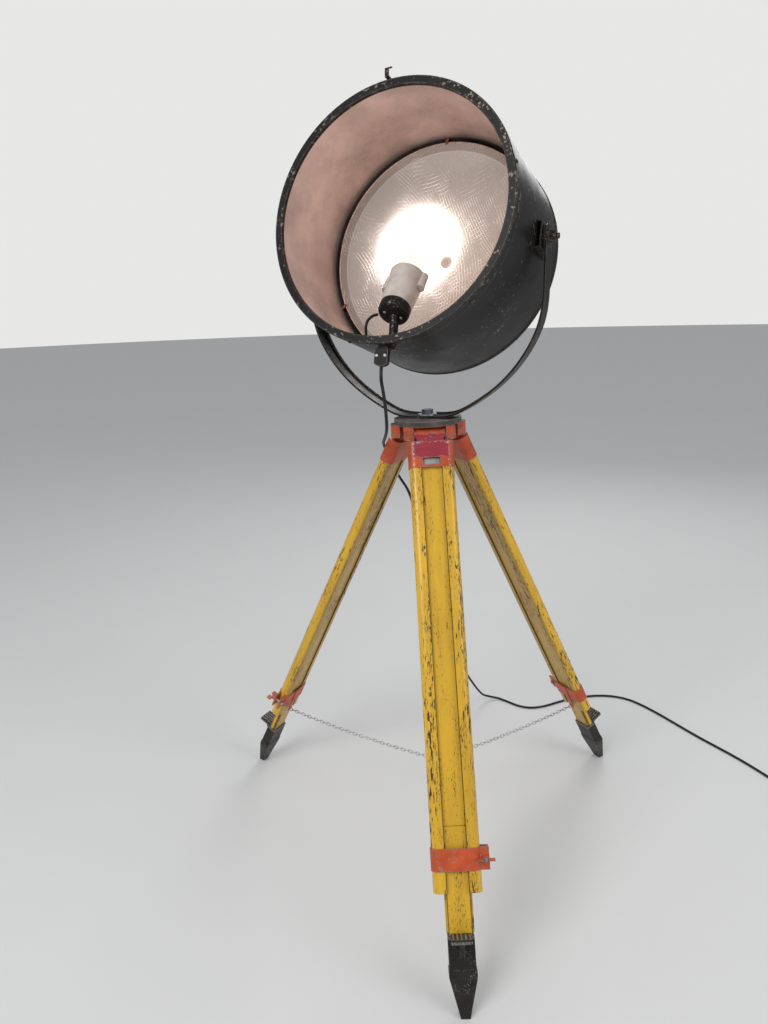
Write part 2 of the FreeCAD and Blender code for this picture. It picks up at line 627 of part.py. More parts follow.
def yoke_pieces():
    """The flat-bar yoke with a turned-in rear edge."""
    half, wide = size("yoke_thick") / 2, size("yoke_wide")
    web = bar(-half, half, -wide / 2, wide)
    lip = bar(-half - size("yoke_lip"), -half + 0.5, -wide / 2, size("yoke_lip_wide"))
    above = Part.makeBox(700, 200, 200, Vector(-350, -size("yoke_lip_start"), -100))
    washer_room = Part.makeCylinder(size("washer_radius") + 0.8, 60, Vector(0, -400, 0), Vector(0, 1, 0))
    strip = web.fuse(lip.cut(above).cut(washer_room))
    trim = Part.makeBox(700, 100, 200, Vector(-350, 0, -100)).cut(
        Part.makeCylinder(size("yoke_end_radius"), 700, Vector(-350, 0, 0), Vector(1, 0, 0)))
    strip = strip.cut(trim).removeSplitter()
    pivot_hole = rod("stud_hole", 700, (-350, 0, 0), ALONG_X)
    centre_hole = rod("bolt_hole", 60, (0, "0 - pivot_height - 20", 0), ALONG_Y)
    piece("yoke", yoke_frame(), cut(free_shape(strip), pivot_hole, centre_hole))


# ---------------------------------------------------------------------------------------
# Drum
# ---------------------------------------------------------------------------------------
def casing_pieces(place):
    """Shell, front ring, back cover and the screws that hold them."""
    inside = "shell_radius - sheet_thick"
    back = "0 - drum_back"
    bead = "shell_radius + bead_out"
    shell = spun([(inside, back), ("shell_radius", back), ("shell_radius", back + " + 1"),
                  (bead, back + " + 2"), (bead, back + " + 6"), ("shell_radius", back + " + 7"),
                  ("shell_radius", "shell_front"), (inside, "shell_front")])
    lead_hole = rod("lead_radius + 1", 30, (LEAD_POINTS[-1][0], -282, LEAD_POINTS[-1][2]), ALONG_Y)
    piece("drum_shell", place, cut(shell, lead_hole))
    deep = "drum_front - ring_deep"
    ring = spun([("shell_radius + 0.1", deep), ("ring_radius", deep),
                 ("ring_radius", "drum_front - 2"), ("ring_radius - 2", "drum_front"),
                 ("ring_opening + 1", "drum_front"),
                 ("ring_opening", "drum_front - 1"), ("ring_opening", "drum_front - ring_return"),
                 ("ring_opening + ring_thick", "drum_front - ring_return"),
                 ("ring_opening + ring_thick", "drum_front - ring_thick"),
                 ("shell_radius + 0.1", "drum_front - ring_thick")])
    latch, latch_mount = latch_forms()
    piece("front_ring", place, fuse(ring, latch_mount))
    piece("latch_hook", place, latch)
    low, rim = "0 - drum_back - 0.2", "cover_rim"
    rise = dome_rise(size("cover_rim"), size("cover_deep"))
    dome = spun([(rim, low), ("cover_flange", low), ("cover_flange", low + " - 1.2"),
                 (rim, low + " - 1.2", -rise), (0, low + " - cover_deep - 1.2"),
                 (0, low + " - cover_deep", rise)])
    piece("back_cover", place, dome)
    screws = []
    for index in range(CASING_SCREWS):
        turn = Placement(Vector(), Rotation(Vector(0, 0, 1), 360 * (index + 0.25) / CASING_SCREWS))
        front = rod("casing_screw_radius", "casing_screw_thick",
                    ("ring_radius + 0.05", 0, "drum_front - ring_deep / 2"), ALONG_X)
        rear = rod("casing_screw_radius", "casing_screw_thick",
                   ("cover_rim + 4", 0, "0 - drum_back - 1.5 - casing_screw_thick"))
        screws.extend([moved(front, turn), moved(rear, turn)])
    piece("casing_screws", place, *screws)


def pivot_pieces(place):
    """Stand-off brackets on the shell, their studs, washers and nuts."""
    brackets, studs, nuts = [], [], []
    at_pivot = Placement(Vector(0, -size("pivot_below_axis"), 0), Rotation())
    for name, side in SIDES:
        turned = at_pivot * Placement(Vector(), Rotation(Vector(0, 1, 0), 0 if side > 0 else 180))
        front, back = ("hat_front", "hat_back") if side > 0 else ("hat_back", "hat_front")
        hat = box((250, "0 - hat_half", "0 - " + back),
                  ("hat_top - 250", "hat_half * 2", f"{back} + {front}"))
        hollow = box((240, "0 - hat_half + hat_thick", f"0 - {back} - 5"),
                     ("hat_top - hat_thick - 240", "hat_half * 2 - hat_thick * 2",
                      f"{back} + {front} + 10"))
        hole = rod("stud_radius + 0.02", 80, (240, 0, 0), ALONG_X)
        drum_round = moved(rod("shell_radius + 0.1", 400, (0, 0, -200)),
                           turned.inverse())
        brackets.append(moved(cut(hat, hollow, hole, drum_round), turned))
        shank = rod("stud_radius", "stud_end - stud_head_start", ("stud_head_start", 0, 0), ALONG_X)
        head = hexagon("stud_head_radius", "stud_head_end - stud_head_start",
                       ("stud_head_start", 0, 0), ALONG_X)
        studs.append(moved(fuse(shank, head), turned))
        outer = rod("spacer_radius", "outer_washer_end - outer_washer_start",
                    ("outer_washer_start", 0, 0), ALONG_X)
        spacer = rod("spacer_radius", "spacer_end - hat_top - 0.05", ("hat_top + 0.05", 0, 0), ALONG_X)
        nut = hexagon("pivot_nut_radius", "pivot_nut_end - outer_washer_end - 0.1",
                      ("outer_washer_end + 0.1", 0, 0), ALONG_X)
        for ring in (spacer, outer, nut):
            bore = rod("stud_radius + 0.02", 80, (240, 0, 0), ALONG_X)
            nuts.append(moved(cut(ring, bore), turned))
    piece("pivot_brackets", place, *brackets)
    piece("pivot_studs", place, *studs)
    piece("pivot_nuts_and_washers", place, *nuts)


def reflector_pieces(place):
    """The spun mirror and the wire clips that hold its rim off the shell."""
    rim_at = "drum_front - reflector_behind"
    rise = dome_rise(size("reflector_rim"), size("reflector_deep"))
    mirror = spun([("reflector_rim", rim_at), ("reflector_rim", rim_at + " - 1.4", -rise),
                   (0, rim_at + " - reflector_deep - 1.4"), (0, rim_at + " - reflector_deep", rise)])
    bead = form("Torus", (0, 0, rim_at), Radius1="reflector_rim", Radius2="rim_bead")
    piece("reflector", place, fuse(mirror, bead))
    clips = []
    for angle in CLIP_ANGLES:
        arm = box(("reflector_rim + rim_bead + 0.1", "0 - clip_half", rim_at + " - clip_thick"),
                  ("shell_radius - sheet_thick - 0.6 - reflector_rim - rim_bead",
                   "clip_half * 2", "clip_thick"))
        foot = box(("shell_radius - sheet_thick - 2.2", "0 - clip_half", rim_at + " - clip_reach"),
                   (1.6, "clip_half * 2", "clip_reach"))
        finger = box(("reflector_rim - 4", "0 - clip_half", rim_at + " + rim_bead + 0.1"),
                     ("rim_bead + 7", "clip_half * 2", "clip_thick"))
        riser = box(("reflector_rim + rim_bead + 0.1", "0 - clip_half", rim_at + " - clip_thick"),
                    ("clip_thick", "clip_half * 2", "rim_bead + clip_thick * 2 + 0.1"))
        turn = Placement(Vector(), Rotation(Vector(0, 0, 1), angle))
        clips.append(moved(fuse(arm, foot, finger, riser), turn))
    piece("reflector_clips", place, *clips)


def lamp_pieces(place):
    """Lampholder, its post, the lamp, and the short lead inside the drum."""
    holder = place * Placement(
        Vector(size("cap_side"), -size("cap_down"), size("cap_forward")),
        Rotation(Vector(1, 0, 0), -90 - size("lamp_lean")))
    shell_inside = rod("shell_radius - sheet_thick - 0.1", 400, (0, 0, -200))
    post = rod("post_radius", 90, ("cap_side", -272, "cap_forward - 9"), ALONG_Y)
    flange = rod("post_flange", "post_flange_thick + 8", ("cap_side", -272, "cap_forward - 9"),
                 ALONG_Y)
    cap_room = moved(rod("cap_radius + 0.1", 90, (0, 0, 0)), place.inverse() * holder)
    piece("lampholder_post", place, cut(common(fuse(post, flange), shell_inside), cap_room))

    cap = spun([(0, 0), ("cap_radius - 6", 0), ("cap_radius - 1.8", 1.8), ("cap_radius", 6),
                ("cap_radius", "cap_deep"), (0, "cap_deep")])
    piece("lampholder_cap", holder, cap)
    body = form("Cone", (0, 0, "cap_deep + 0.1"), Radius1="body_start_radius",
                Radius2="body_end_radius", Height="body_end - cap_deep - 0.1")
    lobes = [rod("lobe_radius", "body_end - lobe_start", (f"{side} * lobe_out", 0, "lobe_start"))
             for name, side in SIDES]
    bore = rod("socket_radius", "socket_deep + 1", (0, 0, "body_end - socket_deep"))
    piece("lampholder_body", holder, cut(fuse(body, *lobes), bore))
    thread = cut(rod("thread_radius", "socket_deep - 8", (0, 0, "body_end - socket_deep + 0.1")),
                 rod("thread_radius - thread_thick", "socket_deep",
                     (0, 0, "body_end - socket_deep + 1.2")))
    piece("lampholder_thread", holder, thread)
    base = rod("lamp_base_radius", "lamp_base_end - lamp_base_start", (0, 0, "lamp_base_start"))
    piece("lamp_base", holder, base)
    globe = form("Sphere", (0, 0, "bulb_centre"), Radius="bulb_radius")
    neck = rod("bulb_neck", "bulb_centre - lamp_base_end - 0.1", (0, 0, "lamp_base_end + 0.1"))
    piece("lamp_bulb", holder, fuse(globe, neck))

    points = [place * Vector(*p) for p in LEAD_POINTS]
    piece("inner_lead", Placement(), cord_run("inner_lead", points, size("lead_radius")))


def latch_forms():
    """The latch hook, and the two ears and pin on the ring that it swings on."""
    pin_out, pin_at = "ring_radius + latch_pin_out", "drum_front - ring_deep + 4"
    barrel = rod("latch_barrel", "latch_wide", (pin_out, "0 - latch_wide / 2", pin_at), ALONG_Y)
    strap = box((pin_out, "0 - latch_wide / 2", pin_at),
                ("latch_thick", "latch_wide", "ring_deep - 4 + latch_thick + 1"))
    hook = box((pin_out, "0 - latch_wide / 2", "drum_front + 1"),
               ("latch_high", "latch_wide", "latch_thick"))
    tip = box((pin_out + " + latch_high - latch_thick", "0 - latch_wide / 2 - 7", "drum_front + 1"),
              ("latch_thick", "latch_wide + 7", "latch_thick"))
    bore = rod("latch_bore", 40, (pin_out, -20, pin_at), ALONG_Y)
    hook_form = cut(fuse(barrel, strap, hook, tip), bore)
    pin = rod("latch_pin", "latch_wide + 5", (pin_out, "0 - latch_wide / 2 - 2.5", pin_at), ALONG_Y)
    ears = [box(("ring_radius - 0.5", low, "drum_front - ring_deep + 1"), ("latch_pin_out + 2.6", 2.3, 6))
            for low in ("0 - latch_wide / 2 - 2.5", "latch_wide / 2 + 0.2")]
    turn = Placement(Vector(), Rotation(Vector(0, 0, 1), size("latch_angle")))
    return moved(hook_form, turn), moved(fuse(pin, *ears), turn)


def cable_clamp(place):
    """The oval cable clamp that hangs under the drum."""
    low_z = "clamp_forward - clamp_thick / 2"
    disc = rod("clamp_half_high", "clamp_thick", ("clamp_side", "0 - clamp_down", low_z))
    sides = box(("clamp_side - clamp_half_wide", "0 - clamp_down - clamp_half_high - 1", low_z),
                ("clamp_half_wide * 2", "clamp_half_high * 2 + 2", "clamp_thick"))
    bore = rod("cord_bore", 20.1, ("clamp_side", CORD_START_Y - 20, "clamp_forward"), ALONG_Y)
    drum_round = rod("ring_radius + 0.1", 400, (0, 0, -100))
    foot = box(("clamp_side - 10", -278, low_z), ("clamp_foot_long", 14, 3))
    piece("cable_clamp", place, cut(fuse(common(disc, sides), foot), bore, drum_round))


# ---------------------------------------------------------------------------------------
# Mains cord: its route is chosen by hand, in the lamp's own frame
# ---------------------------------------------------------------------------------------
CORD_FROM_DRUM = [(-106, -69, 1196), (-102, -54, 1160), (-101, -27, 1125)]
CORD_TO_FLOOR = [
    (-101, -27, 1125), (-100.6, -16.2, 1111), (-103, 16, 1091), (-108, 71, 1069),
    (-111, 129, 1053), (-111, 186, 1036), (-102, 236, 1003), (-89, 275, 965), (-74, 309, 925), (-48, 343, 878), (-29, 371, 800),
    (-11, 400, 708), (8, 430, 615), (28, 462, 523), (50, 497, 433), (74, 535, 346),
    (100, 575, 264), (129, 617, 190), (158, 660, 125), (182, 703, 73), (202, 741, 34),
    (227, 767, 13), (259, 769, 4.5), (288, 746, 3.6)]
CORD_ON_FLOOR = [
    (288, 746, 3.6), (323, 711, 3.6), (365, 697, 3.6), (413, 708, 3.6), (457, 730, 3.6),
    (500, 749, 3.6), (550, 763, 3.6), (605, 771, 3.6), (660, 765, 3.6), (708, 741, 3.6),
    (745, 697, 3.6), (780, 641, 3.6), (820, 566, 3.6), (862, 489, 3.6), (899, 430, 3.6),
    (933, 373, 3.6), (962, 316, 3.6), (987, 261, 3.6), (1006, 203, 3.6), (1017, 146, 3.6)]


def arc_from(start, heading, end):
    """The arc that leaves a point along a heading and arrives at another point."""
    chord = end - start
    half_turn = heading.getAngle(chord)
    across = (chord * (heading.dot(chord) / chord.dot(chord)) - heading).normalize() * -1
    middle = (start + end) * 0.5 + across * (chord.Length / 2 * math.tan(half_turn / 2))
    return Part.Arc(start, middle, end)


def half_turns(radii, rises):
    """The coil's wire: half turns to the left, each a pair of quarter arcs, as they rise."""
    edges = []
    spot, heading = Vector(), Vector(1, 0, 0)
    for radius, rise in zip(radii, rises):
        left = Vector(-heading.y, heading.x, 0)
        end = spot + left * (2 * radius) + Vector(0, 0, rise)
        reach = (end - spot).Length / 2
        joint = (spot + end) * 0.5 + heading * reach
        edges.append(arc_from(spot, heading, joint).toShape())
        edges.append(arc_from(end, heading, joint).toShape())
        spot, heading = end, heading * -1
    return edges, spot, heading


def least_gap(wire, radius, apart):
    """The least distance between two stretches of a tube that are well apart along it."""
    points = wire.discretize(Distance=3)
    skip = int(apart / 3)
    gaps = [(a - b).Length for i, a in enumerate(points) for b in points[i + skip:]]
    return min(gaps) - 2 * radius


def coil_pieces():
    """The spare cord in a neat two-layer coil, and the plug at its end."""
    loop, pitch, radius = size("coil_loop_radius"), size("coil_pitch"), size("cord_radius")
    inward = [loop, loop - pitch / 2, loop - pitch]
    radii = inward + [loop - 1.5 * pitch] + inward[::-1]
    rises = [0, 0, 0, pitch, 0, 0, 0]
    edges, spot, heading = half_turns(radii, rises)
    rise = Vector(0, 0, size("plug_height") - size("coil_height") - pitch)
    end = spot + heading * 85 + rise
    tail, bends = route([spot, spot + heading * 25, spot + heading * 60 + rise, end])
    lead_in = Part.LineSegment(Vector(-2 * radius, 0, 0), Vector()).toShape()
    wire = Part.Wire([lead_in] + edges + tail.Edges)
    solid = tube(wire, Vector(-2 * radius, 0, 0), Vector(1, 0, 0), radius)
    print(f"cord_coil: length {wire.Length:.0f}, tail radii {bends}, least gap to itself "
          f"{least_gap(wire, radius, 60):.2f}, volume / section x length "
          f"{solid.Volume / (math.pi * radius ** 2 * wire.Length):.4f}")
    before, last = Vector(*CORD_ON_FLOOR[-2]), Vector(*CORD_ON_FLOOR[-1])
    along = last - before
    turn = Rotation(Vector(0, 0, 1), math.degrees(math.atan2(along.y, along.x)))
    place = Placement(last, turn) * Placement(Vector(2 * radius, 0, 0), Rotation())
    piece("cord_coil", place, free_shape(solid))
    plug_place = place * frame(end, Vector(0, -1, 0), Vector(0, 0, 1), heading)
    body = form("Cone", Radius1="cord_radius + 4", Radius2="plug_radius", Height="plug_long / 2")
    grip = rod("plug_radius", "plug_long / 2", (0, 0, "plug_long / 2"))
    pins = [rod("plug_pin_radius", "plug_pin_long", (f"{side} * plug_pin_out", 0, "plug_long"))
            for name, side in SIDES]
    piece("cord_plug", plug_place, fuse(body, grip, *pins))
    CORD_NODES.extend(["cord_coil", "cord_plug"])


def cord_pieces(place):
    """The cord in three stretches, its coil on the floor and its plug."""
    start = place * Vector(size("clamp_side"), CORD_START_Y, size("clamp_forward"))
    below = place * Vector(size("clamp_side"), CORD_START_Y - CORD_STRAIGHT, size("clamp_forward"))
    stretches = {
        "cord_from_drum": [start, below] + [Vector(*p) for p in CORD_FROM_DRUM],
        "cord_to_floor": [Vector(*p) for p in CORD_TO_FLOOR],
        "cord_on_floor": [Vector(*p) for p in CORD_ON_FLOOR],
    }
    for node, points in stretches.items():
        piece(node, Placement(), cord_run(node, points, size("cord_radius")))
        CORD_NODES.append(node)
    coil_pieces()


def check_and_write():
    """Stop on any failed object, then write each sub-part's own file."""
    doc.recompute()
    for thing in doc.Objects:
        if {"Invalid", "Error"} & set(thing.State):
            raise RuntimeError(f"{thing.Label}: {thing.State}")
    for node, whole in PIECES.items():
        shape = whole.Shape
        if shape.isNull() or not shape.isValid() or not shape.Solids:
            raise RuntimeError(f"{node}: no valid solid")
        shape.exportStep(f"parts/{node}.step")
    print(len(PIECES), "sub-parts written")


def main():
    """Build every sub-part, check them and write them."""
    head_pieces()
    leg_pieces()
    chain_pieces()
    yoke_pieces()
    place = drum_frame()
    casing_pieces(place)
    pivot_pieces(place)
    reflector_pieces(place)
    lamp_pieces(place)
    cable_clamp(place)
    cord_pieces(place)
    check_and_write()


main()
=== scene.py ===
"""Looks for the tripod spotlight floor lamp: painted wood, worn castings, chains, cord and light.

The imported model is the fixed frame. Each operator dresses or makes one group of pieces.
"""

import json
import math

import bmesh
import bpy
from bpy.props import FloatProperty, FloatVectorProperty, IntProperty
from mathutils import Matrix, Vector


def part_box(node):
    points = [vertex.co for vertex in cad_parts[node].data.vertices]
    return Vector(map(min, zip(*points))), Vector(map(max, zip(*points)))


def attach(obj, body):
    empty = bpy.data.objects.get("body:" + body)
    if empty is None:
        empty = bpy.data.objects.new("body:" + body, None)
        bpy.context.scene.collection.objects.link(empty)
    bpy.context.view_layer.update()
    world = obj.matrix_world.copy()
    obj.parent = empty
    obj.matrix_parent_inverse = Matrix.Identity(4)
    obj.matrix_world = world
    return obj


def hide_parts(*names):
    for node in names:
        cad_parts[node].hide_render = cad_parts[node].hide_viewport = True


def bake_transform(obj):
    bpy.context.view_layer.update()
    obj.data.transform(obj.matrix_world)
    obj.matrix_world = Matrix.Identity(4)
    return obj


bl_info = {
    "name": "Tripod spotlight lamp",
    "version": (1, 0, 0),
    "blender": (4, 5, 0),
    "location": "View3D > Sidebar > Spotlight",
    "description": "Dresses the packed tripod spotlight floor lamp and sets its stage",
    "category": "Object",
}

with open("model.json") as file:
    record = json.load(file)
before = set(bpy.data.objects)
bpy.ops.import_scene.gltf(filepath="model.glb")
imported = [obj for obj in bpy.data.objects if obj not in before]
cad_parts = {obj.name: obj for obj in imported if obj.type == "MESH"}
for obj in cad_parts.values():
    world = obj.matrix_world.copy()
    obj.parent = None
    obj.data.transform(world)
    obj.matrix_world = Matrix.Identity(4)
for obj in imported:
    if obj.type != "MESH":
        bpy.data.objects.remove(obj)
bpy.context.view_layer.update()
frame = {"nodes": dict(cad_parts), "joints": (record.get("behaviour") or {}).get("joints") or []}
NODES = frame["nodes"]
JOINTS = {joint["name"]: joint for joint in frame["joints"]}
LEGS = ("front", "left", "right")


# ---------------------------------------------------------------------------------------
# Frames of the lamp's parts, from the record's joints
# ---------------------------------------------------------------------------------------
def placed(origin, side, back, upward):
    """A matrix from an origin and three axes."""
    turned = Matrix((side, back, upward)).transposed().to_4x4()
    turned.translation = origin
    return turned


def leg_place(leg):
    """X along a leg's hinge, Y inward, Z up the leg."""
    side = Vector(JOINTS[leg + "_leg_fold"]["axis"]).normalized()
    up = -Vector(JOINTS[leg + "_leg_slide"]["axis"]).normalized()
    return placed(Vector(JOINTS[leg + "_leg_fold"]["pos_m"]), side, up.cross(side), up)


def head_place():
    """Z up the stand's head, with the origin on the middle of its plate."""
    up = Vector(JOINTS["yoke_pan"]["axis"]).normalized()
    side = Vector((0, 1, 0)).cross(up).normalized()
    return placed(Vector(JOINTS["yoke_pan"]["pos_m"]), side, up.cross(side), up)


DRUM_TILT = math.radians(16.9)
PIVOT_BELOW_AXIS = 0.0171
SEAM_AT = 0.0233            # where board and rail meet, from the leg's middle
SEAM_HALF_WIDTH = 0.0007
BOARD_LINE_AT = -0.842      # a line across the board, down from the hinge
SCREW_RINGS = (("front", 0.2692, math.pi / 2, 0.1608), ("rear", 0.265, math.pi, -0.1516))
CHAIN_EYE = (0, 0.024, -0.963)
RING_REACH = 0.0135
FOUR_SAGS = 0.036           # four times the chain's sag at its middle


def drum_place():
    """X along the tilt axis, Z forward along the drum's own axis."""
    side = Vector(JOINTS["drum_tilt"]["axis"]).normalized()
    head_up = Vector(JOINTS["yoke_pan"]["axis"]).normalized()
    level = side.cross(head_up).normalized()
    forward = level * math.cos(DRUM_TILT) + head_up * math.sin(DRUM_TILT)
    up = forward.cross(side)
    origin = Vector(JOINTS["drum_tilt"]["pos_m"]) + up * PIVOT_BELOW_AXIS
    return placed(origin, side, up, forward)


def holder_place():
    """Z along the lampholder, from its cap towards the lamp."""
    return (drum_place() @ Matrix.Translation((0.003, -0.196, 0.118))
            @ Matrix.Rotation(math.radians(-121), 4, "X"))


# ---------------------------------------------------------------------------------------
# Sizes and colours that a user would change
# ---------------------------------------------------------------------------------------
def colour(text, default):
    """A colour property."""
    return FloatVectorProperty(name=text, description=text + ", linear", subtype="COLOR",
                               size=3, min=0, max=1, default=default)


class SpotlightPaint(bpy.types.PropertyGroup):
    """The lamp's colours."""
    timber: colour("Yellow gloss on the legs", (0.74, 0.43, 0.022))
    bare_wood: colour("Wood under the chips", (0.055, 0.028, 0.012))
    castings: colour("Orange enamel on castings", (0.60, 0.088, 0.022))
    crimson: colour("Crimson overpaint on the front ferrule", (0.40, 0.022, 0.05))
    worn_metal: colour("Metal where paint has worn off", (0.30, 0.27, 0.25))
    plate: colour("Grey-brown paint on the head's plate", (0.075, 0.058, 0.05))
    enamel: colour("Black enamel on drum and yoke", (0.0085, 0.008, 0.008))
    rubbed: colour("Rubbed-through enamel", (0.11, 0.085, 0.07))
    iron: colour("Black iron of the shoes", (0.009, 0.0085, 0.008))
    # warm tint: the lamp's light is painted into the mirror's colour
    mirror: colour("Mirror metal", (0.97, 0.83, 0.74))
    # pink tint: the lamp's warm light is painted into this bright metal's colour
    liner_lamp_tinted: colour("Bright metal inside the drum", (0.86, 0.72, 0.69))
    porcelain: colour("Porcelain", (0.62, 0.55, 0.49))
    rubber: colour("Cord rubber", (0.012, 0.012, 0.013))


class SpotlightSizes(bpy.types.PropertyGroup):
    """Sizes of the parts that are made here."""
    link_pitch: FloatProperty(name="Link pitch", description="Distance between chain links",
                              subtype="DISTANCE", default=0.0112, min=0.004)
    link_wire: FloatProperty(name="Link wire", description="Thickness of the chain's wire",
                             subtype="DISTANCE", default=0.0021, min=0.0005)
    cord_thick: FloatProperty(name="Cord", description="Diameter of the mains cord",
                              subtype="DISTANCE", default=0.007, min=0.003)
    screw_head: FloatProperty(name="Screw head", description="Radius of the casing's screw heads",
                              subtype="DISTANCE", default=0.0042, min=0.001)
    screws: IntProperty(name="Screws", description="Screws round each edge of the drum",
                        default=6, min=1)
    lamp_power: FloatProperty(name="Lamp strength", description="How bright the lamp's glass is",
                              default=1.35, min=0)


class SpotlightStage(bpy.types.PropertyGroup):
    """Floor and light."""
    floor: colour("Floor", (0.70, 0.70, 0.69))
    backdrop: FloatProperty(name="Backdrop", description="Brightness behind the lamp",
                            default=0.80, min=0, max=1)
    key: FloatProperty(name="Key light", description="Power of the large soft light in watts",
                       default=85.0, min=0)


# ---------------------------------------------------------------------------------------
# Node trees
# ---------------------------------------------------------------------------------------
def add(tree, kind, inputs=None, **settings):
    """A node with its settings made, and its inputs set or linked."""
    made = tree.nodes.new(kind)
    for name, value in settings.items():
        setattr(made, name, value)
    for name, value in (inputs or {}).items():
        if isinstance(value, bpy.types.NodeSocket):
            tree.links.new(value, made.inputs[name])
        elif value is not None:
            made.inputs[name].default_value = value
    return made


def sums(tree, operation, first, second=None, third=None):
    """One step of arithmetic."""
    return add(tree, "ShaderNodeMath", {0: first, 1: second, 2: third}, operation=operation).outputs[0]


def between(tree, value, low, high, start=0.0, end=1.0):
    """A value mapped from low..high to start..end, and held there."""
    return add(tree, "ShaderNodeMapRange",
               {"Value": value, "From Min": low, "From Max": high, "To Min": start, "To Max": end},
               clamp=True).outputs[0]


def blended(tree, share, first, second):
    """Two colours mixed by a share."""
    return add(tree, "ShaderNodeMix", {0: share, 6: first, 7: second}, data_type="RGBA").outputs[2]


def noise(tree, where, scale, detail=3.0, rough=0.55):
    """Smooth noise, about 0 to 1."""
    return add(tree, "ShaderNodeTexNoise", {"Vector": where, "Scale": scale, "Detail": detail,
                                            "Roughness": rough}).outputs[0]


def four(shade):
    """A colour with its alpha."""
    return (*shade[:3], 1.0)


def scaled(shade, factor):
    """A colour made darker or lighter, with its alpha."""
    return four([min(1, c * factor) for c in shade])


def mottled(tree, tone, low, high, shade, dark, light):
    """A colour that wanders between a darker and a lighter shade of itself."""
    return blended(tree, between(tree, tone, low, high), scaled(shade, dark), scaled(shade, light))


def apart(tree, value, level):
    """How far a value is from a level."""
    return sums(tree, "ABSOLUTE", sums(tree, "SUBTRACT", value, level))


def along_z(tree, where, factor):
    """Coordinates scaled along Z only."""
    return add(tree, "ShaderNodeMapping", {"Vector": where, "Scale": (1, 1, factor)}).outputs[0]


def part_coordinates(tree, place=None):
    """Object coordinates, turned into a part's own frame."""
    where = add(tree, "ShaderNodeTexCoord").outputs["Object"]
    if place is not None:
        back = place.inverted()
        where = add(tree, "ShaderNodeMapping", {
            "Vector": where, "Rotation": back.to_euler(), "Location": back.translation}).outputs[0]
    return where


def new_group(name, ins, outs):
    """An empty shader node group with named inputs and outputs."""
    group = bpy.data.node_groups.new(name, "ShaderNodeTree")
    for label, kind, default in ins:
        socket = group.interface.new_socket(label, in_out="INPUT", socket_type=kind)
        if default is not None:
            socket.default_value = default
    for label, kind in outs:
        group.interface.new_socket(label, in_out="OUTPUT", socket_type=kind)
    return group, group.nodes.new("NodeGroupInput"), group.nodes.new("NodeGroupOutput")


def worn_edges_group():
    """Where hands and knocks have rubbed the paint off an edge."""
    group, given, out = new_group(
        "Worn edges",
        [("Vector", "NodeSocketVector", None), ("Edge Width", "NodeSocketFloat", 0.003),
         ("Breakup", "NodeSocketFloat", 60.0), ("Wear", "NodeSocketFloat", 0.5)],
        [("Mask", "NodeSocketFloat")])
    rounded = add(group, "ShaderNodeBevel", {"Radius": given.outputs["Edge Width"]}, samples=4)
    flat = add(group, "ShaderNodeNewGeometry").outputs["Normal"]
    same = add(group, "ShaderNodeVectorMath", {0: rounded.outputs[0], 1: flat},
               operation="DOT_PRODUCT").outputs["Value"]
    edge = between(group, same, 0.995, 0.86)
    torn = noise(group, given.outputs["Vector"], given.outputs["Breakup"], 5.0, 0.65)
    level = sums(group, "MULTIPLY_ADD", given.outputs["Wear"], -0.5, 1.25)
    reach = sums(group, "ADD", sums(group, "MULTIPLY", edge, 0.62), torn)
    group.links.new(between(group, reach, level, sums(group, "ADD", level, 0.07)), out.inputs["Mask"])
    return group


def chips_group():
    """Scattered small chips, in patches."""
    group, given, out = new_group(
        "Paint chips",
        [("Vector", "NodeSocketVector", None), ("Chip Scale", "NodeSocketFloat", 160.0),
         ("Patch Scale", "NodeSocketFloat", 9.0), ("Amount", "NodeSocketFloat", 0.5)],
        [("Mask", "NodeSocketFloat")])
    fine = noise(group, given.outputs["Vector"], given.outputs["Chip Scale"], 4.0, 0.6)
    patch = noise(group, given.outputs["Vector"], given.outputs["Patch Scale"], 2.0)
    level = sums(group, "SUBTRACT", sums(group, "SUBTRACT", 1.13, given.outputs["Amount"]),
                 sums(group, "MULTIPLY", patch, 0.42))
    group.links.new(between(group, fine, level, sums(group, "ADD", level, 0.03)), out.inputs["Mask"])
    return group


def grime_group():
    """Broad uneven dirt, as a share."""
    group, given, out = new_group(
        "Grime", [("Vector", "NodeSocketVector", None), ("Scale", "NodeSocketFloat", 6.0),
                  ("Strength", "NodeSocketFloat", 0.4)], [("Mask", "NodeSocketFloat")])
    broad = noise(group, given.outputs["Vector"], given.outputs["Scale"], 6.0, 0.62)
    group.links.new(sums(group, "MULTIPLY", between(group, broad, 0.38, 0.72),
                         given.outputs["Strength"]), out.inputs["Mask"])
    return group


def swirls_group():
    """Fine curved polishing scratches: thin crossing lines bent by noise."""
    group, given, out = new_group(
        "Swirl scratches", [("Vector", "NodeSocketVector", None), ("Fineness", "NodeSocketFloat", 1.0)],
        [("Lines", "NodeSocketFloat")])
    total = None
    for off, scale, bend in (((0.35, 0.1, 0.1), 44.0, 0.9), ((-0.2, 0.4, 0.0), 37.0, 1.3),
                             ((-0.4, -0.25, 0.05), 52.0, 1.0), ((0.1, -0.5, 0.1), 41.0, 1.6)):
        shifted = add(group, "ShaderNodeMapping", {"Vector": given.outputs["Vector"],
                                                   "Location": off}).outputs[0]
        wave = add(group, "ShaderNodeTexWave", {
            "Vector": shifted, "Scale": sums(group, "MULTIPLY", given.outputs["Fineness"], scale),
            "Distortion": bend, "Detail": 2.0, "Detail Scale": 0.3}, wave_type="RINGS",
            rings_direction="SPHERICAL").outputs["Fac"]
        line = between(group, wave, 0.978, 1.0)
        broken = between(group, noise(group, shifted, 9.0 + scale / 9, 3.0), 0.52, 0.68)
        stroke = sums(group, "MULTIPLY", line, broken)
        total = stroke if total is None else sums(group, "MAXIMUM", total, stroke)
    group.links.new(total, out.inputs["Lines"])
    return group


GROUPS = {}


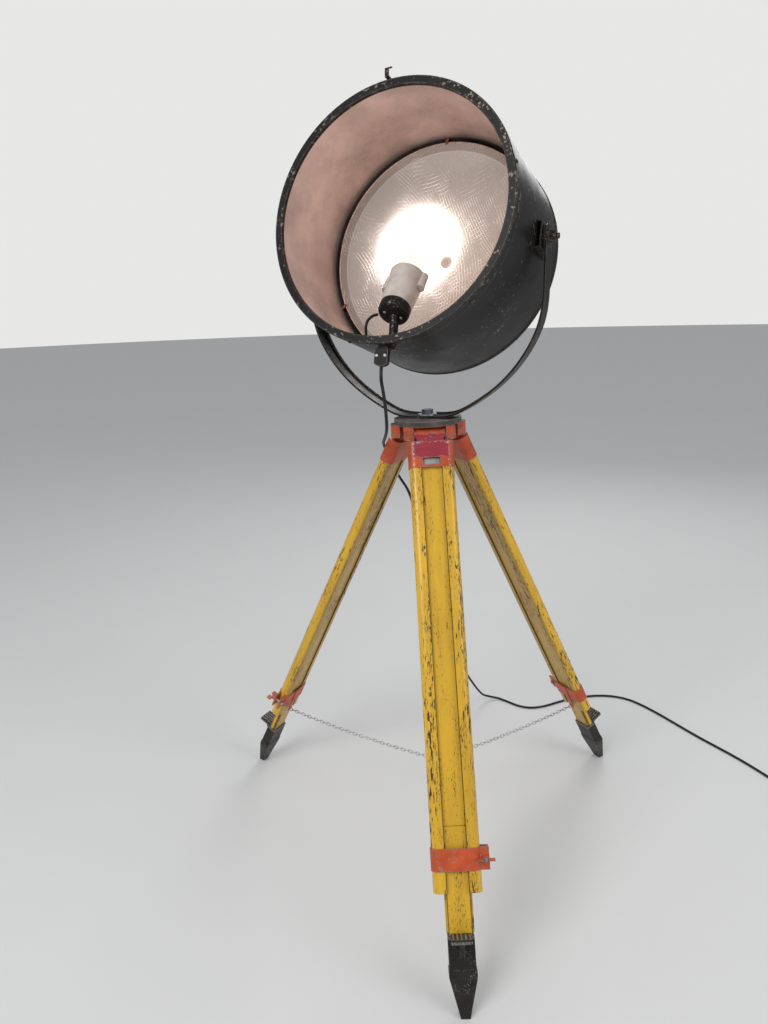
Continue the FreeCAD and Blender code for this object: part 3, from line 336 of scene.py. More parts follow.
def effect(tree, name, **inputs):
    """One use of a shared effect, with its own values."""
    made = add(tree, "ShaderNodeGroup")
    made.node_tree = GROUPS[name]
    feed(tree, made, **inputs)
    return made.outputs[0]


def fresh(name):
    """A new material: its tree and its shader."""
    made = bpy.data.materials.new(name)
    made.use_nodes = True
    tree = made.node_tree
    shader = tree.nodes["Principled BSDF"]
    return made, tree, shader


def feed(tree, shader, **inputs):
    """Set or link a node's inputs, named with _ for a space."""
    for label, value in inputs.items():
        socket = shader.inputs[label.replace("_", " ")]
        if isinstance(value, bpy.types.NodeSocket):
            tree.links.new(value, socket)
        else:
            socket.default_value = value


def bumped(tree, height, distance, strength=0.6):
    """A normal from a height."""
    return add(tree, "ShaderNodeBump", {"Height": height, "Distance": distance,
                                        "Strength": strength}).outputs[0]


# ---------------------------------------------------------------------------------------
# Materials
# ---------------------------------------------------------------------------------------
def leg_timber(leg, paint):
    """Yellow gloss brushed along the leg, chipped dark at the rails, dirty in the joints, with painted shade
    on its inner face.
    """
    made, tree, shader = fresh(leg + "_leg_paint")
    where = part_coordinates(tree, leg_place(leg))
    along = along_z(tree, where, 0.16)
    streaks = along_z(tree, where, 0.02)
    axes = add(tree, "ShaderNodeSeparateXYZ", {0: where})
    off_middle = sums(tree, "ABSOLUTE", axes.outputs["X"])
    on_rail = between(tree, off_middle, 0.0225, 0.026)
    brush = noise(tree, streaks, 260.0, 3.0)
    tone = noise(tree, along, 9.0, 4.0)
    yellow = paint.timber
    base = mottled(tree, tone, 0.3, 0.72, yellow, 0.84, 1.12)
    base = blended(tree, between(tree, brush, 0.45, 0.75, 0, 0.22), base,
                   scaled(yellow, 0.62))
    grime = effect(tree, "Grime", Vector=along, Scale=22.0, Strength=0.42)
    base = blended(tree, grime, base, four((0.30, 0.17, 0.02)))
    # painted shade: the leg's inner face is darkened towards a duller yellow, as if it lay in shade
    shaded_inner_face = between(tree, axes.outputs["Y"], 0.0105, 0.0125, 0, 0.62)
    base = blended(tree, shaded_inner_face, base, four((0.27, 0.165, 0.035)))
    outer_edge = between(tree, axes.outputs["X"], 0.030, 0.047)
    pitted = sums(tree, "MULTIPLY_ADD", outer_edge, 0.055 if leg == "front" else 0.0, 0.30)
    rail_chips = effect(tree, "Paint chips", Vector=along, Chip_Scale=230.0, Patch_Scale=30.0,
                        Amount=pitted)
    board_chips = effect(tree, "Paint chips", Vector=along, Chip_Scale=190.0, Patch_Scale=22.0,
                         Amount=0.245)
    chips = blended(tree, on_rail, board_chips, rail_chips)
    scars = between(tree, noise(tree, streaks, 420.0, 2.0, 0.4), 0.77, 0.79)
    edge = effect(tree, "Worn edges", Vector=along, Edge_Width=0.0016, Breakup=140.0, Wear=0.62)
    pits = effect(tree, "Paint chips", Vector=along, Chip_Scale=620.0, Patch_Scale=45.0, Amount=0.305)
    bare = sums(tree, "MAXIMUM", sums(tree, "MAXIMUM", chips, edge),
                sums(tree, "MAXIMUM", scars, pits))
    base = blended(tree, bare, base, four(paint.bare_wood))
    seam = sums(tree, "LESS_THAN", apart(tree, off_middle, SEAM_AT), SEAM_HALF_WIDTH)
    line = sums(tree, "LESS_THAN", apart(tree, axes.outputs["Z"], BOARD_LINE_AT), SEAM_HALF_WIDTH)
    on_board = sums(tree, "SUBTRACT", 1.0, on_rail)
    seam = sums(tree, "MAXIMUM", seam, sums(tree, "MULTIPLY", line, on_board))
    base = blended(tree, sums(tree, "MULTIPLY", seam, 0.75), base, four((0.05, 0.03, 0.008)))
    rough = between(tree, bare, 0, 1, 0.33, 0.8)
    height = sums(tree, "SUBTRACT", sums(tree, "MULTIPLY", brush, 0.15), bare)
    feed(tree, shader, Base_Color=base, Roughness=rough, Normal=bumped(tree, height, 0.0005, 0.5),
         Coat_Weight=0.25, Coat_Roughness=0.25)
    return made


def casting_enamel(name, place, paint, front_patch=False, wear=0.78):
    """Orange enamel, rubbed to grey metal along its edges."""
    made, tree, shader = fresh(name)
    where = part_coordinates(tree, place)
    tone = noise(tree, where, 24.0, 5.0)
    orange = paint.castings
    base = mottled(tree, tone, 0.3, 0.7, orange, 0.72, 1.15)
    if front_patch:
        axes = add(tree, "ShaderNodeSeparateXYZ", {0: where})
        ragged = sums(tree, "MULTIPLY", sums(tree, "SUBTRACT", noise(tree, where, 75.0, 5.0), 0.5), 0.016)
        side = between(tree, sums(tree, "ADD", sums(tree, "ABSOLUTE", axes.outputs["X"]), ragged),
                       0.0395, 0.0405, 1, 0)
        low = between(tree, sums(tree, "ADD", axes.outputs["Z"], ragged), -0.0575, -0.0565)
        high = between(tree, sums(tree, "ADD", axes.outputs["Z"], ragged), -0.003, -0.002, 1, 0)
        outer = between(tree, axes.outputs["Y"], -0.004, -0.003, 1, 0)
        patch = sums(tree, "MULTIPLY", sums(tree, "MULTIPLY", side, low), sums(tree, "MULTIPLY", high, outer))
        crimson = mottled(tree, tone, 0.3, 0.7, paint.crimson, 0.7, 1.2)
        base = blended(tree, patch, base, crimson)
        rim = sums(tree, "MULTIPLY", patch, sums(tree, "SUBTRACT", 1.0, patch))
        off_middle = sums(tree, "ABSOLUTE", axes.outputs["X"])
        at_side = between(tree, apart(tree, off_middle, 0.039), 0.001, 0.005, 1, 0)
        at_level = between(tree, apart(tree, axes.outputs["Z"], -0.021), 0.001, 0.004, 1, 0)
        at_rim = sums(tree, "MAXIMUM", at_side, at_level)
        torn = between(tree, noise(tree, where, 130.0, 5.0, 0.7), 0.55, 0.60)
        flaked = sums(tree, "MULTIPLY", sums(tree, "MULTIPLY", at_rim, torn), outer)
        base = blended(tree, sums(tree, "MAXIMUM", flaked, rim), base, four((0.62, 0.60, 0.60)))
        recess = sums(tree, "MULTIPLY", between(tree, off_middle, 0.0196, 0.0200, 1, 0),
                      between(tree, axes.outputs["Z"], -0.0745, -0.0740))
        recess = sums(tree, "MULTIPLY", recess, between(tree, axes.outputs["Z"], -0.0580, -0.0577, 1, 0))
        recess = sums(tree, "MULTIPLY", recess, between(tree, axes.outputs["Y"], -0.0168, -0.0160))
        bare_plate = blended(tree, tone, four((0.12, 0.12, 0.12)), four((0.62, 0.62, 0.64)))
        base = blended(tree, recess, base, bare_plate)
    grime = effect(tree, "Grime", Vector=where, Scale=30.0, Strength=0.55)
    base = blended(tree, grime, base, scaled(orange, 0.33))
    edge = effect(tree, "Worn edges", Vector=where, Edge_Width=0.0032, Breakup=150.0, Wear=wear)
    chips = effect(tree, "Paint chips", Vector=where, Chip_Scale=190.0, Patch_Scale=28.0, Amount=0.285)
    bare = sums(tree, "MAXIMUM", edge, chips)
    metal = blended(tree, noise(tree, where, 90.0), scaled(paint.worn_metal, 0.35),
                    scaled(paint.worn_metal, 1.5))
    base = blended(tree, bare, base, metal)
    feed(tree, shader, Base_Color=base, Roughness=between(tree, bare, 0, 1, 0.42, 0.5),
         Metallic=sums(tree, "MULTIPLY", bare, 0.6),
         Normal=bumped(tree, sums(tree, "SUBTRACT", sums(tree, "MULTIPLY", tone, 0.6), bare), 0.0006, 0.5))
    return made


def head_enamel(place, paint):
    """The head: grey-brown rubbed plate above, orange lugs below."""
    made, tree, shader = fresh("head_paint")
    where = part_coordinates(tree, place)
    axes = add(tree, "ShaderNodeSeparateXYZ", {0: where})
    tone = noise(tree, where, 26.0, 5.0)
    orange = mottled(tree, tone, 0.3, 0.7, paint.castings, 0.7, 1.1)
    brown = mottled(tree, tone, 0.35, 0.65, paint.plate, 0.55, 1.9)
    wander = sums(tree, "MULTIPLY", sums(tree, "SUBTRACT", noise(tree, where, 40.0, 4.0), 0.5), 0.009)
    on_plate = between(tree, sums(tree, "ADD", axes.outputs["Z"], wander), -0.0135, -0.0115)
    base = blended(tree, on_plate, orange, brown)
    grime = effect(tree, "Grime", Vector=where, Scale=34.0, Strength=0.6)
    base = blended(tree, grime, base, four((0.03, 0.018, 0.013)))
    edge = effect(tree, "Worn edges", Vector=where, Edge_Width=0.0035, Breakup=120.0, Wear=0.72)
    base = blended(tree, edge, base, four(paint.worn_metal))
    feed(tree, shader, Base_Color=base, Roughness=0.47, Metallic=sums(tree, "MULTIPLY", edge, 0.6),
         Normal=bumped(tree, tone, 0.0008, 0.5))
    return made


def black_enamel(name, place, paint, rub=0.34):
    """Old black enamel, with fine scratches and edges rubbed to brown metal."""
    made, tree, shader = fresh(name)
    where = part_coordinates(tree, place)
    tone = noise(tree, where, 14.0, 6.0, 0.6)
    base = blended(tree, between(tree, tone, 0.35, 0.75), four(paint.enamel),
                   scaled(paint.enamel, 2.4))
    streak = along_z(tree, where, 14)
    scratch = between(tree, noise(tree, streak, 34.0, 3.0, 0.5), 0.74, 0.78)
    base = blended(tree, sums(tree, "MULTIPLY", scratch, 0.3), base, four(paint.rubbed))
    edge = effect(tree, "Worn edges", Vector=where, Edge_Width=0.0026, Breakup=90.0, Wear=rub + 0.32)
    chips = effect(tree, "Paint chips", Vector=where, Chip_Scale=120.0, Patch_Scale=12.0, Amount=rub - 0.09)
    bare = sums(tree, "MAXIMUM", edge, chips)
    base = blended(tree, bare, base, blended(tree, noise(tree, where, 200.0), four(paint.rubbed),
                                             scaled(paint.rubbed, 2.6)))
    feed(tree, shader, Base_Color=base, Roughness=between(tree, tone, 0.3, 0.7, 0.30, 0.48),
         Metallic=sums(tree, "MULTIPLY", bare, 0.45), Specular_IOR_Level=0.16,
         Normal=bumped(tree, sums(tree, "ADD", sums(tree, "MULTIPLY", tone, 0.7), scratch), 0.0004, 0.35))
    return made


def rough_iron(leg, paint):
    """Black iron of a shoe: cast skin, polished specks where it meets the ground."""
    made, tree, shader = fresh(leg + "_shoe_iron")
    where = part_coordinates(tree, leg_place(leg))
    skin = noise(tree, where, 190.0, 5.0, 0.7)
    broad = noise(tree, where, 30.0, 4.0)
    base = blended(tree, between(tree, broad, 0.35, 0.7), four(paint.iron), four((0.022, 0.018, 0.015)))
    edge = effect(tree, "Worn edges", Vector=where, Edge_Width=0.0022, Breakup=160.0, Wear=0.42)
    chips = effect(tree, "Paint chips", Vector=where, Chip_Scale=330.0, Patch_Scale=24.0, Amount=0.30)
    bright = sums(tree, "MAXIMUM", edge, chips)
    base = blended(tree, bright, base, four((0.20, 0.185, 0.17)))
    axes = add(tree, "ShaderNodeSeparateXYZ", {0: where})
    on_spur = sums(tree, "MULTIPLY", between(tree, axes.outputs["Z"], -1.0462, -1.0450),
                   between(tree, axes.outputs["Y"], -0.0155, -0.0145, 1, 0))
    collar = between(tree, apart(tree, axes.outputs["Z"], -1.053), 0.002, 0.0045, 1, 0)
    worn = sums(tree, "MAXIMUM", on_spur, sums(tree, "MULTIPLY", collar, 0.6))
    base = blended(tree, sums(tree, "MULTIPLY", worn, between(tree, skin, 0.35, 0.6)), base,
                   four((0.33, 0.32, 0.31)))
    feed(tree, shader, Base_Color=base, Roughness=between(tree, skin, 0.3, 0.7, 0.28, 0.5),
         Specular_IOR_Level=0.3,
         Metallic=sums(tree, "MULTIPLY", bright, 0.7), Normal=bumped(tree, skin, 0.0012, 0.6))
    return made


def plain_metal(name, shade, rough):
    """Bare metal with slight stains."""
    made, tree, shader = fresh(name)
    tone = noise(tree, part_coordinates(tree), 70.0, 4.0)
    base = blended(tree, between(tree, tone, 0.3, 0.75), scaled(shade, 0.62), four(shade))
    feed(tree, shader, Base_Color=base, Metallic=0.9,
         Roughness=between(tree, tone, 0.3, 0.7, rough, rough + 0.2),
         Normal=bumped(tree, tone, 0.0002, 0.3))
    return made


def mirror_metal(place, paint):
    """The mirror, its colour tinted warm with painted lamp light: soft reflections under a net of swirl
    scratches, a dull flange at its rim, a painted highlight along the flange's inner edge.
    """
    made, tree, shader = fresh("mirror_metal")
    where = part_coordinates(tree, place)
    axes = add(tree, "ShaderNodeSeparateXYZ", {0: where})
    out = sums(tree, "SQRT", sums(tree, "ADD", sums(tree, "MULTIPLY", axes.outputs["X"], axes.outputs["X"]),
                                  sums(tree, "MULTIPLY", axes.outputs["Y"], axes.outputs["Y"])))
    flange = between(tree, out, 0.2365, 0.2385)
    # painted highlight: a bright line along the flange's inner edge
    rim_highlight = between(tree, apart(tree, out, 0.2372), 0.0004, 0.0016, 1, 0)
    lines = effect(tree, "Swirl scratches", Vector=where, Fineness=1.0)
    stains = noise(tree, where, 11.0, 6.0, 0.65)
    specks = between(tree, noise(tree, where, 300.0, 2.0, 0.5), 0.70, 0.74)
    # the mirror colour's warm tint is painted lamp light
    base = blended(tree, between(tree, stains, 0.4, 0.72, 0, 0.35), four(paint.mirror),
                   scaled(paint.mirror, 0.7))
    base = blended(tree, sums(tree, "MULTIPLY", flange, 0.55), base, four((0.45, 0.30, 0.24)))
    # lightened swirl scratches and the painted rim highlight share a warm near-white
    base = blended(tree, sums(tree, "MAXIMUM", sums(tree, "MULTIPLY", lines, 0.5), rim_highlight), base,
                   four((1.0, 0.93, 0.86)))
    rough = sums(tree, "ADD", between(tree, stains, 0.35, 0.75, 0.12, 0.22),
                 sums(tree, "MULTIPLY", sums(tree, "MAXIMUM", lines, specks), 0.25))
    feed(tree, shader, Base_Color=base, Metallic=between(tree, lines, 0, 1, 0.78, 0.45), Roughness=rough,
         Normal=bumped(tree, lines, 0.00012, 0.45))
    return made


def drum_liner(place, paint):
    """Inside of the drum: dulled bright metal with fine speckle and broad cloudy patches, tinted pink with
    the lamp's warm light painted in.
    """
    made, tree, shader = fresh("drum_liner")
    where = part_coordinates(tree, place)
    clouds = noise(tree, where, 7.0, 5.0, 0.6)
    speckle = noise(tree, where, 330.0, 3.0, 0.6)
    patch = noise(tree, where, 5.0, 2.0)
    dots = sums(tree, "MULTIPLY", between(tree, speckle, 0.57, 0.64), between(tree, patch, 0.35, 0.6))
    # the liner's pink tint and its warm speckle are painted warm lamp light
    base = mottled(tree, clouds, 0.35, 0.7, paint.liner_lamp_tinted, 0.62, 1.1)
    base = blended(tree, sums(tree, "MULTIPLY", dots, 0.6), base, four((0.95, 0.80, 0.74)))
    brush = along_z(tree, where, 16)
    feed(tree, shader, Base_Color=base, Metallic=0.75,
         Roughness=between(tree, clouds, 0.3, 0.7, 0.36, 0.52),
         Normal=bumped(tree, sums(tree, "ADD", speckle, noise(tree, brush, 40.0)), 0.0004, 0.5))
    return made


def glazed_porcelain(place, paint):
    """Porcelain, smoked and dusty."""
    made, tree, shader = fresh("porcelain")
    where = part_coordinates(tree, place)
    stain = noise(tree, where, 28.0, 5.0, 0.6)
    base = blended(tree, between(tree, stain, 0.42, 0.78, 0, 0.6), four(paint.porcelain),
                   four((0.30, 0.23, 0.19)))
    feed(tree, shader, Base_Color=base, Roughness=between(tree, stain, 0.3, 0.7, 0.32, 0.5),
         Normal=bumped(tree, stain, 0.0004, 0.25), Coat_Weight=0.15)
    return made


def moulded_rubber(name, paint):
    """Black rubber with a faint dusty bloom."""
    made, tree, shader = fresh(name)
    where = part_coordinates(tree)
    bloom = noise(tree, where, 60.0, 4.0)
    base = blended(tree, between(tree, bloom, 0.4, 0.75), four(paint.rubber), four((0.035, 0.034, 0.034)))
    feed(tree, shader, Base_Color=base, Roughness=between(tree, bloom, 0.3, 0.7, 0.40, 0.58),
         Specular_IOR_Level=0.22,
         Normal=bumped(tree, noise(tree, where, 700.0), 0.0001, 0.4))
    return made


def lit_glass(power):
    """The lit lamp's glass, its colour slightly uneven."""
    made, tree, shader = fresh("lit_glass")
    where = part_coordinates(tree, holder_place())
    cloud = noise(tree, where, 20.0, 2.0)
    glow = blended(tree, cloud, four((1.0, 0.78, 0.58)), four((1.0, 0.88, 0.72)))
    feed(tree, shader, Base_Color=four((0.10, 0.09, 0.08)), Roughness=0.15, Emission_Color=glow,
         Emission_Strength=power)
    return made


# ---------------------------------------------------------------------------------------
# Meshes
# ---------------------------------------------------------------------------------------
def paint_node(node, *materials):
    """Give a CAD node its materials, and shade its round faces smoothly."""
    part = NODES[node]
    part.data.materials.clear()
    for made in materials:
        part.data.materials.append(made)
    part.data.polygons.foreach_set("material_index", [0] * len(part.data.polygons))
    part.data.polygons.foreach_set("use_smooth", [True] * len(part.data.polygons))
    weld = part.modifiers.new("joined", "WELD")
    weld.merge_threshold = 1e-6
    split = part.modifiers.new("sharp edges", "EDGE_SPLIT")
    split.split_angle = math.radians(32)
    return part


def meshed(name, body):
    """A mesh from a bmesh, which is freed."""
    mesh = bpy.data.meshes.new(name)
    body.to_mesh(mesh)
    body.free()
    return mesh


def linked(name, data):
    """An object with this data, in the scene."""
    made = bpy.data.objects.new(name, data)
    bpy.context.scene.collection.objects.link(made)
    return made


def finished(name, mesh, material, place=Matrix()):
    """An object from a mesh, with its place in the mesh and its material set."""
    mesh.transform(place)
    mesh.materials.clear()
    mesh.materials.append(material)
    mesh.polygons.foreach_set("use_smooth", [True] * len(mesh.polygons))
    mesh.update()
    return linked(name, mesh)


def turned_mesh(name, profile, steps=32):
    """A closed form spun from (radius, height) points that start and end on the axis."""
    body = bmesh.new()
    rings = []
    for radius, height in profile:
        if radius < 1e-7:
            rings.append([body.verts.new((0, 0, height))])
        else:
            rings.append([body.verts.new((radius * math.cos(2 * math.pi * i / steps),
                                          radius * math.sin(2 * math.pi * i / steps), height))
                          for i in range(steps)])
    for lower, upper in zip(rings, rings[1:]):
        for i in range(steps):
            corners = [lower[i % len(lower)], lower[(i + 1) % len(lower)],
                       upper[(i + 1) % len(upper)], upper[i % len(upper)]]
            unique = list(dict.fromkeys(corners))
            if len(unique) > 2:
                body.faces.new(unique)
    bmesh.ops.recalc_face_normals(body, faces=body.faces)
    return meshed(name, body)


def slotted_head(name, radius, high):
    """A round screw head with a slot across it."""
    body = bmesh.new()
    steps = 20
    heights = ((1.0, 0.0), (1.0, 0.25), (0.92, 0.62), (0.72, 0.9), (0.45, 1.0))
    rings = [[body.verts.new((radius * share * math.cos(2 * math.pi * i / steps),
                              radius * share * math.sin(2 * math.pi * i / steps), high * up))
              for i in range(steps)] for share, up in heights]
    for lower, upper in zip(rings, rings[1:]):
        for i in range(steps):
            body.faces.new((lower[i], lower[(i + 1) % steps], upper[(i + 1) % steps], upper[i]))
    body.faces.new(rings[-1])
    body.faces.new(list(reversed(rings[0])))
    head = finished(name, meshed(name, body), None)
    box = bmesh.new()
    bmesh.ops.create_cube(box, size=1.0, matrix=Matrix.Translation((0, 0, high * 1.05))
                          @ Matrix.Diagonal((radius * 2.4, radius * 0.32, high * 0.9, 1)))
    cutter = linked("slot", meshed("slot", box))
    carve = head.modifiers.new("slot", "BOOLEAN")
    carve.object = cutter
    carve.operation = "DIFFERENCE"
    settled(head)
    bpy.data.objects.remove(cutter)
    return head


def settled(thing):
    """Replace an object's mesh by what its modifiers make of it."""
    bpy.context.view_layer.update()
    evaluated = thing.evaluated_get(bpy.context.evaluated_depsgraph_get())
    mesh = bpy.data.meshes.new_from_object(evaluated)
    if thing.type == "MESH":
        thing.modifiers.clear()
        thing.data = mesh
        return thing
    return linked(thing.name + "_mesh", mesh)


def geometry_tree(name, inputs):
    """An empty Geometry Nodes tree with named inputs."""
    tree = bpy.data.node_groups.new(name, "GeometryNodeTree")
    tree.interface.new_socket("Geometry", in_out="INPUT", socket_type="NodeSocketGeometry")
    for label, kind in inputs:
        tree.interface.new_socket(label, in_out="INPUT", socket_type=kind)
    tree.interface.new_socket("Geometry", in_out="OUTPUT", socket_type="NodeSocketGeometry")
    return tree, tree.nodes.new("NodeGroupInput"), tree.nodes.new("NodeGroupOutput")


def run_tree(thing, tree, **values):
    """Put a tree on an object, set its inputs, and keep the result as a plain mesh."""
    layer = thing.modifiers.new(tree.name, "NODES")
    layer.node_group = tree
    for item in tree.interface.items_tree:
        label = item.name.replace(" ", "_")
        if item.in_out == "INPUT" and label in values:
            layer[item.identifier] = values[label]
    return settled(thing)


def chain_tree():
    """Links along a curve, each turned a quarter from the one before."""
    tree, given, out = geometry_tree("Chain links", [
        ("Pitch", "NodeSocketFloat"), ("Link Length", "NodeSocketFloat"),
        ("Link Width", "NodeSocketFloat"), ("Wire", "NodeSocketFloat"),
        ("Material", "NodeSocketMaterial")])
    steps = add(tree, "GeometryNodeResampleCurve", {
        "Curve": given.outputs["Geometry"], "Length": given.outputs["Pitch"]}, mode="LENGTH")
    ring = add(tree, "GeometryNodeCurvePrimitiveCircle", {"Resolution": 14, "Radius": 1.0})
    half_long = sums(tree, "MULTIPLY", given.outputs["Link Length"], 0.5)
    half_wide = sums(tree, "MULTIPLY", given.outputs["Link Width"], 0.5)
    squeeze = add(tree, "ShaderNodeCombineXYZ", {0: half_wide, 1: 1.0, 2: half_long})
    upright = add(tree, "GeometryNodeTransform", {
        "Geometry": ring.outputs[0], "Rotation": (math.pi / 2, 0, 0)})
    link_line = add(tree, "GeometryNodeTransform", {
        "Geometry": upright.outputs[0], "Scale": squeeze.outputs[0]})
    wire = add(tree, "GeometryNodeCurvePrimitiveCircle", {
        "Resolution": 6, "Radius": sums(tree, "MULTIPLY", given.outputs["Wire"], 0.5)})
    link = add(tree, "GeometryNodeCurveToMesh", {
        "Curve": link_line.outputs[0], "Profile Curve": wire.outputs[0]})
    index = add(tree, "GeometryNodeInputIndex").outputs[0]
    quarter = sums(tree, "MULTIPLY", sums(tree, "MODULO", index, 2.0), math.pi / 2)
    heading = add(tree, "FunctionNodeAlignRotationToVector", {
        "Vector": add(tree, "GeometryNodeInputTangent").outputs[0]}, axis="Z", pivot_axis="AUTO")
    twist = add(tree, "FunctionNodeAxisAngleToRotation", {"Axis": (0, 0, 1), "Angle": quarter})
    turned = add(tree, "FunctionNodeRotateRotation", {
        "Rotation": heading.outputs[0], "Rotate By": twist.outputs[0]}, rotation_space="LOCAL")
    links = add(tree, "GeometryNodeInstanceOnPoints", {
        "Points": steps.outputs[0], "Instance": link.outputs[0], "Rotation": turned.outputs[0]})
    real = add(tree, "GeometryNodeRealizeInstances", {0: links.outputs[0]})
    painted = add(tree, "GeometryNodeSetMaterial", {
        "Geometry": real.outputs[0], "Material": given.outputs["Material"]})
    tree.links.new(painted.outputs[0], out.inputs[0])
    return tree


def screw_ring_tree():
    """Screw heads spaced evenly round a circle, turned by the lean to face out or back."""
    tree, given, out = geometry_tree("Screws round an edge", [
        ("Count", "NodeSocketInt"), ("Radius", "NodeSocketFloat"), ("Lean", "NodeSocketFloat"),
        ("Screw", "NodeSocketObject"), ("Material", "NodeSocketMaterial")])
    circle = add(tree, "GeometryNodeCurvePrimitiveCircle", {
        "Resolution": given.outputs["Count"], "Radius": given.outputs["Radius"]})
    points = add(tree, "GeometryNodeCurveToPoints", {"Curve": circle.outputs[0]}, mode="EVALUATED")
    index = add(tree, "GeometryNodeInputIndex").outputs[0]
    turn = sums(tree, "DIVIDE", sums(tree, "MULTIPLY", index, 2 * math.pi), given.outputs["Count"])
    facing = add(tree, "FunctionNodeEulerToRotation", {
        0: add(tree, "ShaderNodeCombineXYZ", {0: 0.0, 1: given.outputs["Lean"], 2: turn}).outputs[0]})
    spin = add(tree, "FunctionNodeAxisAngleToRotation", {
        "Axis": (0, 0, 1), "Angle": sums(tree, "MULTIPLY", index, 1.9)})
    turned = add(tree, "FunctionNodeRotateRotation", {
        "Rotation": facing.outputs[0], "Rotate By": spin.outputs[0]}, rotation_space="LOCAL")
    screw = add(tree, "GeometryNodeObjectInfo", {"Object": given.outputs["Screw"]})
    heads = add(tree, "GeometryNodeInstanceOnPoints", {
        "Points": points.outputs[0], "Instance": screw.outputs["Geometry"],
        "Rotation": turned.outputs[0]})
    real = add(tree, "GeometryNodeRealizeInstances", {0: heads.outputs[0]})
    painted = add(tree, "GeometryNodeSetMaterial", {
        "Geometry": real.outputs[0], "Material": given.outputs["Material"]})
    tree.links.new(painted.outputs[0], out.inputs[0])
    return tree


def smooth_route(name, points):
    """A NURBS route with these points as its control points."""
    line = bpy.data.curves.new(name, "CURVE")
    line.dimensions = "3D"
    spline = line.splines.new("NURBS")
    spline.points.add(len(points) - 1)
    for spot, point in zip(spline.points, points):
        spot.co = (*point, 1.0)
    spline.order_u = 3
    spline.use_endpoint_u = True
    spline.resolution_u = 10
    return linked(name, line)


def route_points(route):
    """Points read along a route."""
    bpy.context.view_layer.update()
    mesh = bpy.data.meshes.new_from_object(route.evaluated_get(bpy.context.evaluated_depsgraph_get()))
    found = [vertex.co.copy() for vertex in mesh.vertices]
    bpy.data.meshes.remove(mesh)
    return found


def tube_along(name, points, radius, material, sides=14):
    """A round tube along points, closed at both ends, its rings kept from twisting."""
    body = bmesh.new()
    rings, normal = [], None
    for i, here in enumerate(points):
        ahead = (points[min(i + 1, len(points) - 1)] - points[max(i - 1, 0)]).normalized()
        if normal is None:
            normal = ahead.orthogonal().normalized()
        normal = (normal - ahead * normal.dot(ahead)).normalized()
        across = ahead.cross(normal)
        rings.append([body.verts.new(here + (normal * math.cos(2 * math.pi * k / sides)
                                             + across * math.sin(2 * math.pi * k / sides)) * radius)
                      for k in range(sides)])
    for lower, upper in zip(rings, rings[1:]):
        for k in range(sides):
            body.faces.new((lower[k], lower[(k + 1) % sides], upper[(k + 1) % sides], upper[k]))
    body.faces.new(list(reversed(rings[0])))
    body.faces.new(rings[-1])
    return finished(name, meshed(name, body), material)


# ---------------------------------------------------------------------------------------
# Operators
# ---------------------------------------------------------------------------------------
class LegsOperator(bpy.types.Operator):
    """Paint the rails and boards, the ferrules, clamps and shoes of the three legs"""
    bl_idname = "spotlight.legs"
    bl_label = "Legs"

    def execute(self, context):
        paint = context.scene.spotlight_paint
        zinc = plain_metal("zinc_steel", (0.46, 0.47, 0.49), 0.38)
        for leg in LEGS:
            timber = leg_timber(leg, paint)
            for node in ("_rail_left", "_rail_right", "_sliding_board"):
                paint_node(leg + node, timber)
            place = leg_place(leg)
            paint_node(leg + "_leg_ferrule",
                       casting_enamel(leg + "_ferrule_enamel", place, paint, leg == "front"))
            paint_node(leg + "_clamp_band", casting_enamel(leg + "_band_enamel", place, paint,
                                                           wear=0.72))
            paint_node(leg + "_wing_nut", casting_enamel(leg + "_wing_enamel", place, paint, wear=0.7))
            paint_node(leg + "_leg_shoe", rough_iron(leg, paint))
            paint_node(leg + "_clamp_bolt", zinc)
            paint_node(leg + "_hinge_shaft", bpy.data.materials[leg + "_band_enamel"])
        return {"FINISHED"}


class HeadOperator(bpy.types.Operator):
    """Paint the head casting, its bearing caps and screws, and the yoke's bolt"""
    bl_idname = "spotlight.head"
    bl_label = "Head"

    def execute(self, context):
        paint = context.scene.spotlight_paint
        place = head_place()
        paint_node("head_casting", head_enamel(place, paint))
        paint_node("bearing_caps", casting_enamel("bearing_cap_enamel", place, paint, wear=0.85))
        blued = plain_metal("blued_steel", (0.30, 0.33, 0.40), 0.30)
        for node in ("cap_screws", "yoke_washer"):
            paint_node(node, bpy.data.materials["zinc_steel"])
        paint_node("yoke_bolt", blued)
        return {"FINISHED"}


